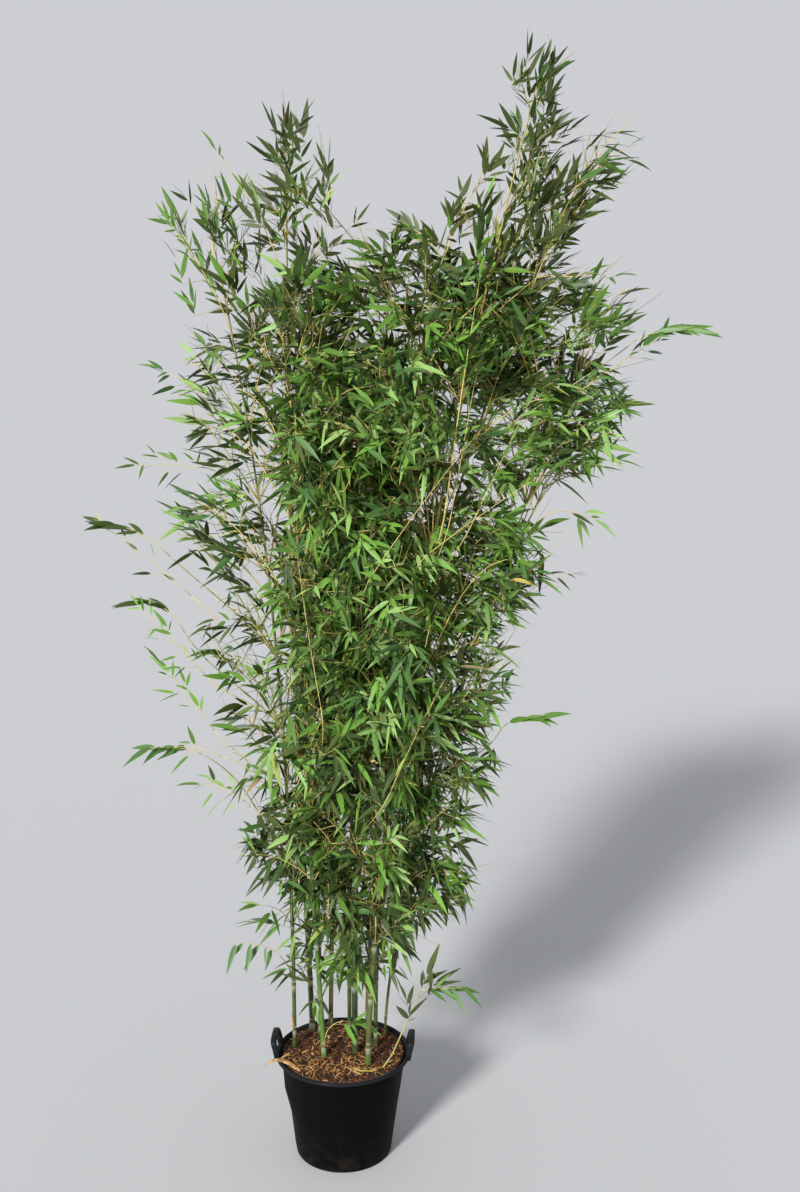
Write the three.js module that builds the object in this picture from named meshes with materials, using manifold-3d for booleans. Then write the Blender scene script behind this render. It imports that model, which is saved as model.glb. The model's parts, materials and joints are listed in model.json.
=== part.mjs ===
// A clump of bamboo about 3.5 m tall, growing in a round black nursery container.
// Millimetres, +Z up. The origin is the centre of the container's flat underside and
// the front of the plant looks along -Y.
import * as THREE from 'three';
import { mergeVertices } from 'three/addons/utils/BufferGeometryUtils.js';
import Module from 'manifold-3d';

const wasm = await Module();
wasm.setup();

// ---------------------------------------------------------------- driving dimensions

const CLEARANCE = 0.3;          // kept between solids that touch
const MASS_GAP = 7;             // kept between neighbouring masses of leaves
const TUNNEL_GAP = 2;           // kept between a culm and the mass it runs through

const CONTAINER = {
  height: 355,
  footRadius: 160,              // flat underside
  neckRadius: 207,              // body just under the rim
  rimRadius: 226,
  rimDepth: 18,
  lip: 5,                       // roundness of the rim's edge
  wall: 3,
  sides: 36,
};

const HANDLE = {
  length: 112,                  // along the rim
  height: 54,                   // above the rim
  width: 21,                    // across the rim
  strap: 12,
  corner: 14,
  outwardLean: 13,
  turn: THREE.MathUtils.degToRad(-1.5),
};

const SOIL_LEVEL = 341;

const FULLNESS = 0.8;           // roundness of the masses: 1 is an ellipsoid, less is boxier

const CULM = {
  sides: 6,
  flare: 1.35,                  // swelling where it leaves the soil
  tipRadius: 1.6,
  tunnelSides: 4,
  stations: [0, 0.015, 0.15, 0.3, 0.45, 0.6, 0.75, 0.88, 1],
};

// foot: where it stands on the soil. tip: its highest point. radius: at the foot.
// bow: 1 leans evenly, more keeps upright below and leans out above. sway: sideways bend.
const CULMS = [
  { name: 'culm_left_outer', foot: [-165, 25], tip: [-390, 10, 3060], radius: 6.8, bow: 2.5, sway: 0 },
  { name: 'culm_left_peak', foot: [-112, 138], tip: [-150, 0, 3330], radius: 9.5, bow: 1.6, sway: -30 },
  { name: 'culm_left_back', foot: [-84, 88], tip: [-250, 170, 2760], radius: 6, bow: 2, sway: 12 },
  { name: 'culm_front_bright', foot: [-62, -42], tip: [-120, -120, 2880], radius: 8.5, bow: 1.5, sway: -35 },
  { name: 'culm_middle_back', foot: [-50, 150], tip: [70, 140, 2880], radius: 8, bow: 1.7, sway: 8 },
  { name: 'culm_middle', foot: [18, 85], tip: [180, 10, 3000], radius: 7, bow: 1.9, sway: -6 },
  { name: 'culm_middle_dark', foot: [41, -15], tip: [350, -40, 3060], radius: 10.5, bow: 2.2, sway: -12 },
  { name: 'culm_right_peak', foot: [85, -88], tip: [608, -10, 3490], radius: 9.5, bow: 1.55, sway: 0 },
  { name: 'culm_right_inner', foot: [108, 22], tip: [700, 30, 3130], radius: 7.5, bow: 2, sway: -8 },
  { name: 'culm_right_back', foot: [75, 145], tip: [470, 190, 2900], radius: 7, bow: 1.9, sway: 10 },
  { name: 'culm_right_thin', foot: [138, 112], tip: [760, 110, 2600], radius: 5, bow: 1.5, sway: 0 },
];

const SHOOT = { name: 'leaning_shoot', foot: [128, -108], tip: [262, -100, 630], radius: 3.2, bow: 0.9, sway: 14 };

// at: middle. size: half extents. slant: rise for each unit to the right.
// taper: how much narrower the top is than the middle (negative for a wider top).
const MASSES = [
  { name: 'left_peak', at: [-130, 0, 3140], size: [150, 120, 235], slant: 0, taper: 0.35 },
  { name: 'left_brow', at: [-335, 0, 2980], size: [180, 140, 215], slant: -0.1, taper: 0.15 },
  { name: 'left_crest', at: [-95, -30, 2740], size: [190, 175, 205], slant: 0.1, taper: 0 },
  { name: 'left_shoulder', at: [-310, 20, 2500], size: [190, 165, 235], slant: -0.1, taper: 0 },
  { name: 'left_arm', at: [-345, 0, 2100], size: [175, 140, 185], slant: -0.2, taper: -0.1 },
  { name: 'left_flank', at: [-285, 0, 1750], size: [170, 165, 195], slant: -0.1, taper: 0 },
  { name: 'left_waist', at: [-250, 10, 1390], size: [160, 150, 175], slant: 0, taper: 0 },
  { name: 'left_skirt', at: [-165, 10, 1060], size: [120, 140, 160], slant: 0, taper: -0.2 },
  { name: 'middle_crest', at: [190, 10, 2850], size: [165, 170, 210], slant: 0.2, taper: 0.15 },
  { name: 'middle_heart_front', at: [70, -165, 2400], size: [220, 160, 235], slant: 0, taper: 0 },
  { name: 'middle_heart_back', at: [60, 170, 2410], size: [225, 155, 240], slant: 0, taper: 0.1 },
  { name: 'middle_body_front', at: [60, -170, 1940], size: [230, 160, 230], slant: 0, taper: 0 },
  { name: 'middle_body_back', at: [60, 175, 1950], size: [230, 155, 230], slant: 0, taper: 0 },
  { name: 'middle_waist_front', at: [60, -150, 1520], size: [205, 145, 195], slant: 0, taper: -0.1 },
  { name: 'middle_waist_back', at: [60, 165, 1530], size: [205, 140, 195], slant: 0, taper: -0.1 },
  { name: 'middle_skirt', at: [60, 0, 1170], size: [180, 210, 165], slant: 0, taper: -0.1 },
  { name: 'middle_foot', at: [70, 0, 820], size: [165, 160, 185], slant: 0, taper: -0.2 },
  { name: 'right_peak', at: [600, -10, 3375], size: [105, 95, 180], slant: 0.1, taper: 0.3 },
  { name: 'right_brow', at: [540, 0, 3060], size: [230, 145, 190], slant: 0.2, taper: 0.1 },
  { name: 'right_wing', at: [795, 20, 3225], size: [110, 70, 90], slant: 0.2, taper: 0 },
  { name: 'right_crest', at: [435, 20, 2720], size: [180, 185, 190], slant: 0.1, taper: 0 },
  { name: 'right_shoulder', at: [725, 0, 2770], size: [180, 115, 155], slant: 0.1, taper: 0 },
  { name: 'right_arm', at: [655, 20, 2440], size: [215, 130, 175], slant: 0.2, taper: -0.1 },
  { name: 'right_elbow', at: [385, 10, 2330], size: [145, 185, 180], slant: 0.1, taper: 0 },
  { name: 'right_flank', at: [425, 0, 1990], size: [175, 170, 180], slant: 0.15, taper: -0.15 },
  { name: 'right_waist', at: [365, 0, 1650], size: [155, 160, 170], slant: 0.1, taper: -0.1 },
  { name: 'right_hip', at: [340, 0, 1335], size: [145, 140, 155], slant: 0.1, taper: -0.1 },
  { name: 'right_skirt', at: [290, 0, 1000], size: [110, 120, 180], slant: 0, taper: -0.2 },
  { name: 'far_left_upper_spray', at: [-690, 10, 2110], size: [75, 50, 50], slant: -0.4, taper: 0 },
  { name: 'far_left_lower_spray', at: [-590, -20, 1870], size: [65, 50, 45], slant: -0.5, taper: 0 },
  { name: 'left_low_spray', at: [-560, 0, 1395], size: [75, 50, 50], slant: 0.2, taper: 0 },
  { name: 'far_right_spray', at: [1020, -20, 2715], size: [95, 50, 45], slant: 0.15, taper: 0 },
  { name: 'right_low_spray', at: [590, -20, 1500], size: [60, 50, 50], slant: 0.2, taper: 0 },
  { name: 'foot_left_spray', at: [-290, -30, 705], size: [85, 45, 55], slant: 0, taper: 0 },
  { name: 'foot_right_spray', at: [350, -100, 610], size: [80, 50, 65], slant: -0.1, taper: 0 },
];

// Side boughs that reach the outlying sprays. height: where the bough leaves its culm.
// arch: how far its middle rises above the straight line.
const BOUGHS = [
  { name: 'bough_far_left_upper', culm: 'culm_left_outer', height: 1780, to: 'far_left_upper_spray', arch: 30 },
  { name: 'bough_far_left_lower', culm: 'culm_left_outer', height: 1470, to: 'far_left_lower_spray', arch: 20 },
  { name: 'bough_left_low', culm: 'culm_left_outer', height: 1210, to: 'left_low_spray', arch: 50 },
  { name: 'bough_far_right', culm: 'culm_right_inner', height: 2420, to: 'far_right_spray', arch: 40 },
  { name: 'bough_right_low', culm: 'culm_right_thin', height: 1210, to: 'right_low_spray', arch: 30 },
  { name: 'bough_foot_left', culm: 'culm_left_outer', height: 640, to: 'foot_left_spray', arch: 30 },
];

const BOUGH = { rootRadius: 4, tipRadius: 2.6, sides: 6, steps: 6 };

// ---------------------------------------------------------------- finishes

const finish = (color, roughness) => new THREE.MeshStandardMaterial({
  color,
  roughness,
  metalness: 0,
  flatShading: true,
});

const FINISH = {
  container: () => finish(0x17181a, 0.45),
  soil: () => finish(0x4e3a26, 0.95),
  culm: () => finish(0x55643a, 0.5),
  bough: () => finish(0x7d8a4a, 0.6),
  leaves: () => finish(0x4a6a2c, 0.7),
};

// ---------------------------------------------------------------- solids

// Keeps only the corners and faces of a closed geometry, with shared corners merged.
function welded(geometry) {
  geometry.deleteAttribute('normal');
  geometry.deleteAttribute('uv');
  return mergeVertices(geometry, 1e-3);
}

function toManifold(geometry) {
  return new wasm.Manifold(new wasm.Mesh({
    numProp: 3,
    vertProperties: new Float32Array(geometry.attributes.position.array),
    triVerts: new Uint32Array(geometry.index.array),
  }));
}

function toGeometry(manifold) {
  const { vertProperties, triVerts } = manifold.getMesh();
  const geometry = new THREE.BufferGeometry();
  geometry.setAttribute('position', new THREE.BufferAttribute(vertProperties, 3));
  geometry.setIndex(new THREE.BufferAttribute(triVerts, 1));
  return geometry;
}

function largestBody(manifold) {
  return manifold.decompose().reduce((best, body) => (body.volume() > best.volume() ? body : best));
}

// A closed tube through rings of { centre, across, up, radius }, in order along the limb.
function tube(rings, sides) {
  const corners = [];
  const faces = [];
  for (const { centre, across, up, radius } of rings) {
    for (let side = 0; side < sides; side += 1) {
      const angle = (2 * Math.PI * side) / sides;
      const corner = centre.clone()
        .addScaledVector(across, radius * Math.cos(angle))
        .addScaledVector(up, radius * Math.sin(angle));
      corners.push(...corner.toArray());
    }
  }
  const last = (rings.length - 1) * sides;
  for (let start = 0; start < last; start += sides) {
    for (let side = 0; side < sides; side += 1) {
      const here = start + side;
      const next = start + ((side + 1) % sides);
      faces.push(here, next, next + sides);
      faces.push(here, next + sides, here + sides);
    }
  }
  for (let side = 1; side < sides - 1; side += 1) {
    faces.push(0, side + 1, side);
    faces.push(last, last + side, last + side + 1);
  }
  const geometry = new THREE.BufferGeometry();
  geometry.setAttribute('position', new THREE.Float32BufferAttribute(corners, 3));
  geometry.setIndex(faces);
  return geometry;
}

// ---------------------------------------------------------------- container and soil

// Turns a profile of [radius, height] points about +Z.
function turned(profile, sides) {
  const points = profile.map(([radius, height]) => new THREE.Vector2(radius, height));
  return new THREE.LatheGeometry(points, sides).rotateX(Math.PI / 2);
}

// Inner radius of the container's wall at a height.
function wallRadius(height) {
  const { footRadius, neckRadius, rimDepth, wall } = CONTAINER;
  const slope = (neckRadius - footRadius) / (CONTAINER.height - rimDepth);
  return footRadius - wall + slope * height;
}

function containerShape() {
  const { height, footRadius, neckRadius, rimRadius, rimDepth, lip, wall, sides } = CONTAINER;
  const under = height - rimDepth;
  return turned([
    [0, 0],
    [footRadius, 0],
    [neckRadius, under],
    [rimRadius - lip, under + lip],
    [rimRadius, under + 2 * lip],
    [rimRadius - lip, height],
    [neckRadius + lip, height],
    [wallRadius(under), under],
    [wallRadius(wall), wall],
    [0, wall],
  ], sides);
}

function soilShape() {
  const bottom = CONTAINER.wall + CLEARANCE;
  return turned([
    [0, bottom],
    [wallRadius(bottom) - 2 * CLEARANCE, bottom],
    [wallRadius(SOIL_LEVEL) - 2 * CLEARANCE, SOIL_LEVEL],
    [0, SOIL_LEVEL],
  ], CONTAINER.sides);
}

// An upright arch on the rim, open below, leaning out; side is 1 for right, -1 for left.
function handleShape(side) {
  const { length, height, width, strap, corner, outwardLean, turn } = HANDLE;
  const outer = length / 2;
  const inner = outer - strap;
  const arch = new THREE.Shape();
  arch.moveTo(-outer, 0);
  arch.lineTo(-inner, 0);
  arch.lineTo(-inner, height - strap);
  arch.lineTo(inner, height - strap);
  arch.lineTo(inner, 0);
  arch.lineTo(outer, 0);
  arch.lineTo(outer, height - corner);
  arch.quadraticCurveTo(outer, height, outer - corner, height);
  arch.lineTo(corner - outer, height);
  arch.quadraticCurveTo(-outer, height, -outer, height - corner);
  const geometry = new THREE.ExtrudeGeometry(arch, { depth: width, bevelEnabled: false, curveSegments: 3 });
  const along = new THREE.Vector3(0, 1, 0);
  const leaning = new THREE.Vector3(outwardLean / height, 0, 1);
  const outward = new THREE.Vector3(1, 0, 0);
  const seat = (CONTAINER.neckRadius + CONTAINER.rimRadius - width) / 2;
  return geometry
    .applyMatrix4(new THREE.Matrix4().makeBasis(along, leaning, outward))
    .translate(seat, 0, CONTAINER.height + CLEARANCE)
    .rotateZ(turn + (side < 0 ? Math.PI : 0));
}

// ---------------------------------------------------------------- culms and boughs

// The middle of a culm at a share of its length, 0 at the soil and 1 at the tip.
function culmPoint({ foot, tip, bow, sway }, share) {
  const lean = share ** bow;
  const bottom = SOIL_LEVEL + CLEARANCE;
  return new THREE.Vector3(
    foot[0] + (tip[0] - foot[0]) * lean + sway * Math.sin(Math.PI * share),
    foot[1] + (tip[1] - foot[1]) * lean,
    bottom + (tip[2] - bottom) * share,
  );
}

function culmRadius({ radius }, share) {
  const taper = radius + (Math.min(CULM.tipRadius, radius / 2) - radius) * share ** 1.3;
  return share === 0 ? radius * CULM.flare : taper;
}

// Level rings, so that the foot is a flat cut at the soil.
function culmShape(culm) {
  return levelTube(culm, CULM.sides, (radius) => radius);
}

// A fatter stand-in for a culm, with fewer sides, which clears its way through a mass.
function tunnelShape(culm) {
  const outside = Math.cos(Math.PI / CULM.tunnelSides);
  return levelTube(culm, CULM.tunnelSides, (radius) => (radius + TUNNEL_GAP) / outside, TUNNEL_GAP);
}

function levelTube(culm, sides, widen, longer = 0) {
  const across = new THREE.Vector3(1, 0, 0);
  const up = new THREE.Vector3(0, 1, 0);
  const rings = CULM.stations.map((share) => ({
    centre: culmPoint(culm, share),
    across,
    up,
    radius: widen(culmRadius(culm, share)),
  }));
  rings.at(-1).centre.z += longer;
  return tube(rings, sides);
}

// An arched, tapering limb from its culm to the middle of the spray that it carries.
function boughShape({ culm, height, to, arch }) {
  const parent = CULMS.find(({ name }) => name === culm);
  const root = culmPoint(parent, (height - SOIL_LEVEL) / (parent.tip[2] - SOIL_LEVEL));
  const end = new THREE.Vector3(...MASSES.find(({ name }) => name === to).at);
  const middle = root.clone().lerp(end, 0.5);
  middle.z += 2 * arch;
  const curve = new THREE.QuadraticBezierCurve3(root, middle, end);
  const upright = new THREE.Vector3(0, 0, 1);
  const rings = [];
  for (let step = 0; step <= BOUGH.steps; step += 1) {
    const share = step / BOUGH.steps;
    const heading = curve.getTangent(share);
    const across = upright.clone().cross(heading).normalize();
    rings.push({
      centre: curve.getPoint(share),
      across,
      up: heading.clone().cross(across),
      radius: BOUGH.rootRadius + (BOUGH.tipRadius - BOUGH.rootRadius) * share,
    });
  }
  return tube(rings, BOUGH.sides);
}

// ---------------------------------------------------------------- masses of leaves

// A power curve that keeps the sign: under 1 it fills out a round shape's corners.
function filled(value) {
  return Math.sign(value) * Math.abs(value) ** FULLNESS;
}

// An uneven, closed blob. Each has lobes of its own from its number; extra makes it larger.
function massShape({ at, size, slant, taper }, number, extra = 0) {
  const small = Math.max(...size) < 120;
  const blob = welded(new THREE.SphereGeometry(1, small ? 7 : 9, small ? 5 : 6));
  const corners = blob.attributes.position;
  for (let index = 0; index < corners.count; index += 1) {
    const level = corners.getY(index);
    const reach = Math.sqrt(Math.max(0, 1 - level * level));
    const turn = Math.atan2(corners.getZ(index), corners.getX(index));
    const lobes = 1
      + 0.09 * reach * Math.sin(2 * turn + 2.1 * number + 2 * level)
      + 0.07 * reach * Math.sin(3 * turn - 1.3 * number + 4 * level)
      + 0.05 * Math.sin(5 * level + 1.7 * number);
    const girth = filled(reach) * lobes * (1 - taper * level);
    const right = (size[0] + extra) * girth * filled(Math.cos(turn));
    corners.setXYZ(
      index,
      at[0] + right,
      at[1] - (size[1] + extra) * girth * filled(Math.sin(turn)),
      at[2] + (size[2] + extra) * filled(level) + slant * right,
    );
  }
  return blob;
}

// Masses in order: each gives way to those before it, and to the limbs that run through it.
function cutMasses(limbTunnels) {
  const grown = MASSES.map((mass, number) => toManifold(massShape(mass, number, MASS_GAP)));
  return MASSES.map((mass, number) => {
    let solid = toManifold(massShape(mass, number));
    for (const earlier of grown.slice(0, number)) {
      solid = solid.subtract(earlier);
    }
    for (const tunnel of limbTunnels) {
      solid = solid.subtract(tunnel);
    }
    return largestBody(solid);
  });
}

// ---------------------------------------------------------------- assembly

const group = new THREE.Group();

function place(name, geometry, material) {
  const mesh = new THREE.Mesh(geometry, material);
  mesh.name = name;
  group.add(mesh);
}

place('container', containerShape(), FINISH.container());
place('handle_left', handleShape(-1), FINISH.container());
place('handle_right', handleShape(1), FINISH.container());
place('soil', soilShape(), FINISH.soil());

const uprights = [...CULMS, SHOOT];
const tunnels = uprights.map((culm) => toManifold(tunnelShape(culm)));
for (const culm of uprights) {
  place(culm.name, culmShape(culm), FINISH.culm());
}

for (const [number, solid] of cutMasses(tunnels).entries()) {
  place(MASSES[number].name, toGeometry(solid), FINISH.leaves());
}

const grownMasses = MASSES.map((mass, number) => toManifold(massShape(mass, number, CLEARANCE)));
for (const bough of BOUGHS) {
  let limb = toManifold(boughShape(bough));
  for (const obstacle of [...grownMasses, ...tunnels]) {
    limb = limb.subtract(obstacle);
  }
  place(bough.name, toGeometry(largestBody(limb)), FINISH.bough());
}

export default group;
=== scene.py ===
"""Looks of the potted clump bamboo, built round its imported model.

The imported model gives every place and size. Culms are traced from their solids, and each mass of
leaves is an envelope that is filled with branches, twigs and sprays, grown on from the culms by a
seeded rule. Lengths are metres unless a name says otherwise.
"""

from __future__ import annotations

import json
import logging
import math
from dataclasses import dataclass, field
from enum import Enum
from typing import Callable, Sequence

import bmesh
import bpy
import numpy as np
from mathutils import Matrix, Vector, noise
from mathutils.bvhtree import BVHTree

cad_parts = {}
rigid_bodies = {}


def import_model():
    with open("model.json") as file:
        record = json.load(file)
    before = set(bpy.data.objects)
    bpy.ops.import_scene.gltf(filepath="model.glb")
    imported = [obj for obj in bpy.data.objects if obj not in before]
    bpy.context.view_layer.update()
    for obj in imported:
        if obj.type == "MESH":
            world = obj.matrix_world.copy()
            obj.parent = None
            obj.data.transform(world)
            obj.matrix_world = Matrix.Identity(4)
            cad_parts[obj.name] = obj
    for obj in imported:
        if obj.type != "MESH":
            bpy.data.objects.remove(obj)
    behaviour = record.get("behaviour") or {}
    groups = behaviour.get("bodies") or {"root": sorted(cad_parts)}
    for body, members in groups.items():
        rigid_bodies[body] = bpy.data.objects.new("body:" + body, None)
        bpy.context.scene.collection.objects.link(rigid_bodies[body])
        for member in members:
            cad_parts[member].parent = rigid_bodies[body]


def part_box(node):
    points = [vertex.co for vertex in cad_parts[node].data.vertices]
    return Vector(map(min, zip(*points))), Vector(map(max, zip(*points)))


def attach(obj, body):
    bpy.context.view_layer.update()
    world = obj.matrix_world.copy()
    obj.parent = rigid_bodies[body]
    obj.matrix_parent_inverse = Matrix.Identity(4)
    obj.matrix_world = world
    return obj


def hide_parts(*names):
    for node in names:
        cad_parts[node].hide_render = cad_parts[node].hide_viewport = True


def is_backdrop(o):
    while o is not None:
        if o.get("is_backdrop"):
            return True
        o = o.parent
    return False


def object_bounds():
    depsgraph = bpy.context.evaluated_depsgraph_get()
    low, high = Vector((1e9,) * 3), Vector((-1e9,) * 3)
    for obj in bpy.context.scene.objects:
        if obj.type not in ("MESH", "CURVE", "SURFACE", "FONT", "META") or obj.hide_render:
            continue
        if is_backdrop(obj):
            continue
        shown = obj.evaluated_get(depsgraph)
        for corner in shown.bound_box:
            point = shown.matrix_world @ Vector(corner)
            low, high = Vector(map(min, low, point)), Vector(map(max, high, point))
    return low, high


LOG = logging.getLogger("bamboo")
SEED = 20
MM = 0.001
UP = np.array([0.0, 0.0, 1.0])
FLAT = np.array([1, 1, 0])

# Corner positions, triangles and a material number for each triangle, of many small things.
Swarm = tuple[np.ndarray, np.ndarray, np.ndarray]


# ------------------------------------------------------------------ small tools


def linear(colour: str) -> tuple[float, float, float, float]:
    """Turns an sRGB hex colour to the linear values that shaders take.

    Args:
        colour: Six hex digits after a hash.

    Returns:
        Red, green, blue and full opacity, linear.
    """
    channels = [int(colour[start : start + 2], 16) / 255 for start in (1, 3, 5)]
    light = [c / 12.92 if c <= 0.04045 else ((c + 0.055) / 1.055) ** 2.4 for c in channels]
    return light[0], light[1], light[2], 1.0


def unit(vectors: np.ndarray) -> np.ndarray:
    """Scales one vector, or each row of several, to length one."""
    return vectors / np.maximum(np.linalg.norm(vectors, axis=-1, keepdims=True), 1e-9)


def seeded(*keys: int) -> np.random.Generator:
    """Makes a random source of its own for one job, so that jobs don't disturb each other."""
    return np.random.default_rng([SEED, *keys])


def add_piece(name: str, mesh: bpy.types.Mesh, slot: str, *nodes: str) -> None:
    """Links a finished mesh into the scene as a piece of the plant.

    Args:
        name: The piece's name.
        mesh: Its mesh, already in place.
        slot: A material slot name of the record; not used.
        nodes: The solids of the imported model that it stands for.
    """
    piece = bpy.data.objects.new(name, mesh)
    bpy.context.scene.collection.objects.link(piece)
    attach(piece, "root")
    if nodes:
        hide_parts(*nodes)
    LOG.info("%s: %d faces", name, len(mesh.polygons))


def mesh_from_bmesh(
    name: str, bm: bmesh.types.BMesh, material: bpy.types.Material
) -> bpy.types.Mesh:
    """Turns a bmesh into a smooth mesh of one material, and frees the bmesh.

    Args:
        name: The mesh's name.
        bm: The finished bmesh.
        material: Its material.

    Returns:
        The new mesh.
    """
    mesh = bpy.data.meshes.new(name)
    bm.to_mesh(mesh)
    bm.free()
    mesh.materials.append(material)
    mesh.polygons.foreach_set("use_smooth", [True] * len(mesh.polygons))
    return mesh


def add_swarm(
    name: str,
    parts: Sequence[Swarm],
    materials: Sequence[bpy.types.Material],
    slot: str,
    *nodes: str,
) -> None:
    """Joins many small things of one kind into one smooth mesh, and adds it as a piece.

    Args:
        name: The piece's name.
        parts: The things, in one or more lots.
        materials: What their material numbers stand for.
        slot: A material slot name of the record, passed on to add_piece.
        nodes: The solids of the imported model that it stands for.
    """
    starts = np.cumsum([0] + [len(part[0]) for part in parts[:-1]])
    points = np.concatenate([part[0] for part in parts])
    triangles = np.concatenate([part[1] + start for part, start in zip(parts, starts)])
    tones = np.concatenate([part[2] for part in parts])
    mesh = bpy.data.meshes.new(name)
    mesh.vertices.add(len(points))
    mesh.vertices.foreach_set("co", points.astype(np.float32).ravel())
    mesh.loops.add(3 * len(triangles))
    mesh.loops.foreach_set("vertex_index", triangles.astype(np.int32).ravel())
    mesh.polygons.add(len(triangles))
    mesh.polygons.foreach_set("loop_start", np.arange(0, 3 * len(triangles), 3, dtype=np.int32))
    mesh.polygons.foreach_set("material_index", tones.astype(np.int32))
    mesh.polygons.foreach_set("use_smooth", np.ones(len(triangles), bool))
    for material in materials:
        mesh.materials.append(material)
    mesh.update(calc_edges=True)
    add_piece(name, mesh, slot, *nodes)


def add_jointed(
    name: str,
    bm: bmesh.types.BMesh,
    finish: bpy.types.Material,
    gaps: Sequence[float],
    slot: str,
    node: str,
) -> None:
    """Adds a swept cane or bough as a piece that knows how far each corner is from a joint.

    Args:
        name: The piece's name.
        bm: The swept body.
        finish: Its material, which reads the "joint" attribute.
        gaps: Each ring's distance past its nearest joint.
        slot: A material slot name of the record, passed on to add_piece.
        node: The solid that it stands for.
    """
    bmesh.ops.recalc_face_normals(bm, faces=bm.faces)
    stations = bm.verts.layers.float["station"]
    values = [gaps[int(round(vert[stations]))] for vert in bm.verts]
    mesh = mesh_from_bmesh(name, bm, finish)
    mesh.attributes.new("joint", "FLOAT", "POINT").data.foreach_set("value", values)
    add_piece(name, mesh, slot, node)


def template_arrays(bm: bmesh.types.BMesh) -> tuple[np.ndarray, np.ndarray]:
    """Reads a small bmesh as corner positions and triangles, and frees it."""
    bmesh.ops.triangulate(bm, faces=bm.faces)
    bm.verts.index_update()
    points = np.array([vert.co for vert in bm.verts])
    triangles = np.array([[vert.index for vert in face.verts] for face in bm.faces])
    bm.free()
    return points, triangles


def repeated(triangles: np.ndarray, corners: int, copies: int) -> np.ndarray:
    """Numbers the triangles of many copies of a template.

    Args:
        triangles: The template's triangles.
        corners: How many corners a copy has.
        copies: How many copies there are.

    Returns:
        All the copies' triangles.
    """
    starts = np.arange(copies)[:, None, None] * corners
    return (triangles[None] + starts).reshape(-1, 3)


def lathe(outline: Sequence[tuple[float, float]], steps: int) -> bmesh.types.BMesh:
    """Turns an outline once round the upright axis.

    Args:
        outline: Radius and height of its points, from the axis and back to it.
        steps: Facets round the axis.

    Returns:
        The closed body.
    """
    bm = bmesh.new()
    verts = [bm.verts.new((radius, 0.0, height)) for radius, height in outline]
    edges = [bm.edges.new(pair) for pair in zip(verts, verts[1:])]
    bmesh.ops.spin(
        bm,
        geom=verts + edges,
        cent=(0, 0, 0),
        axis=(0, 0, 1),
        angle=2 * math.pi,
        steps=steps,
        use_merge=True,
    )
    bmesh.ops.remove_doubles(bm, verts=bm.verts, dist=0.05 * MM)
    bmesh.ops.recalc_face_normals(bm, faces=bm.faces)
    return bm


@dataclass(frozen=True)
class Ring:
    """One cross-section of a swept body: its middle and the two half-widths of its outline."""

    middle: np.ndarray
    across: np.ndarray
    up: np.ndarray


def sweep(
    rings: Sequence[Ring],
    sides: int,
    outline: Callable[[int, float], float] = lambda station, turn: 1.0,
) -> bmesh.types.BMesh:
    """Extrudes a closed body through rings, with a cap at each end.

    Args:
        rings: Its cross-sections in order.
        sides: Corners of a cross-section.
        outline: Gives the reach of an outline from the ring's number and the turn in radians.

    Returns:
        The body, whose corners carry their ring's number as "station".
    """
    bm = bmesh.new()
    turn_layer = bm.verts.layers.float.new("turn")
    station_layer = bm.verts.layers.float.new("station")
    verts = bmesh.ops.create_circle(bm, cap_ends=True, segments=sides, radius=1.0)["verts"]
    for vert in verts:
        vert[turn_layer] = math.atan2(vert.co.y, vert.co.x)
    edges = list(dict.fromkeys(edge for vert in verts for edge in vert.link_edges))
    for station, ring in enumerate(rings):
        if station:
            grown = bmesh.ops.extrude_edge_only(bm, edges=edges)["geom"]
            verts = [item for item in grown if isinstance(item, bmesh.types.BMVert)]
            new = set(verts)
            edges = [
                item
                for item in grown
                if isinstance(item, bmesh.types.BMEdge) and set(item.verts) <= new
            ]
        for vert in verts:
            turn = vert[turn_layer]
            around = math.cos(turn) * ring.across + math.sin(turn) * ring.up
            vert.co = Vector(ring.middle + outline(station, turn) * around)
            vert[station_layer] = station
    bmesh.ops.holes_fill(bm, edges=edges, sides=sides)
    return bm


def curved(start: np.ndarray, bends: Sequence[np.ndarray], steps: int) -> np.ndarray:
    """Points along a Bezier curve of any order.

    Args:
        start: Its first point.
        bends: Its other control points, the last of which is its end.
        steps: How many points to give.

    Returns:
        The points, steps by 3.
    """
    controls = np.array([start, *bends])
    order = len(controls) - 1
    share = np.linspace(0, 1, steps)[:, None]
    weights = [
        math.comb(order, k) * share**k * (1 - share) ** (order - k) for k in range(order + 1)
    ]
    return sum(weight * control for weight, control in zip(weights, controls))


def place_on(line: np.ndarray, share: float) -> tuple[np.ndarray, np.ndarray]:
    """Finds a place and the heading there on a line of points.

    Args:
        line: The line's points.
        share: How far along it, from 0 to 1.

    Returns:
        The place and the unit heading.
    """
    spans = len(line) - 1
    index = min(spans - 1, int(share * spans))
    step = line[index + 1] - line[index]
    return line[index] + step * (share * spans - index), unit(step)


def node_points(node: str) -> np.ndarray:
    """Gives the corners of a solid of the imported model, each once."""
    mesh = bpy.data.objects[node].data
    flat = np.zeros(3 * len(mesh.vertices), np.float32)
    mesh.vertices.foreach_get("co", flat)
    return np.unique(flat.reshape(-1, 3).round(5), axis=0).astype(float)


def node_middle(node: str) -> np.ndarray:
    """Gives the middle of a solid's box."""
    return sum(np.array(corner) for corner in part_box(node)) / 2


# ------------------------------------------------------------------ finishes


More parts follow.
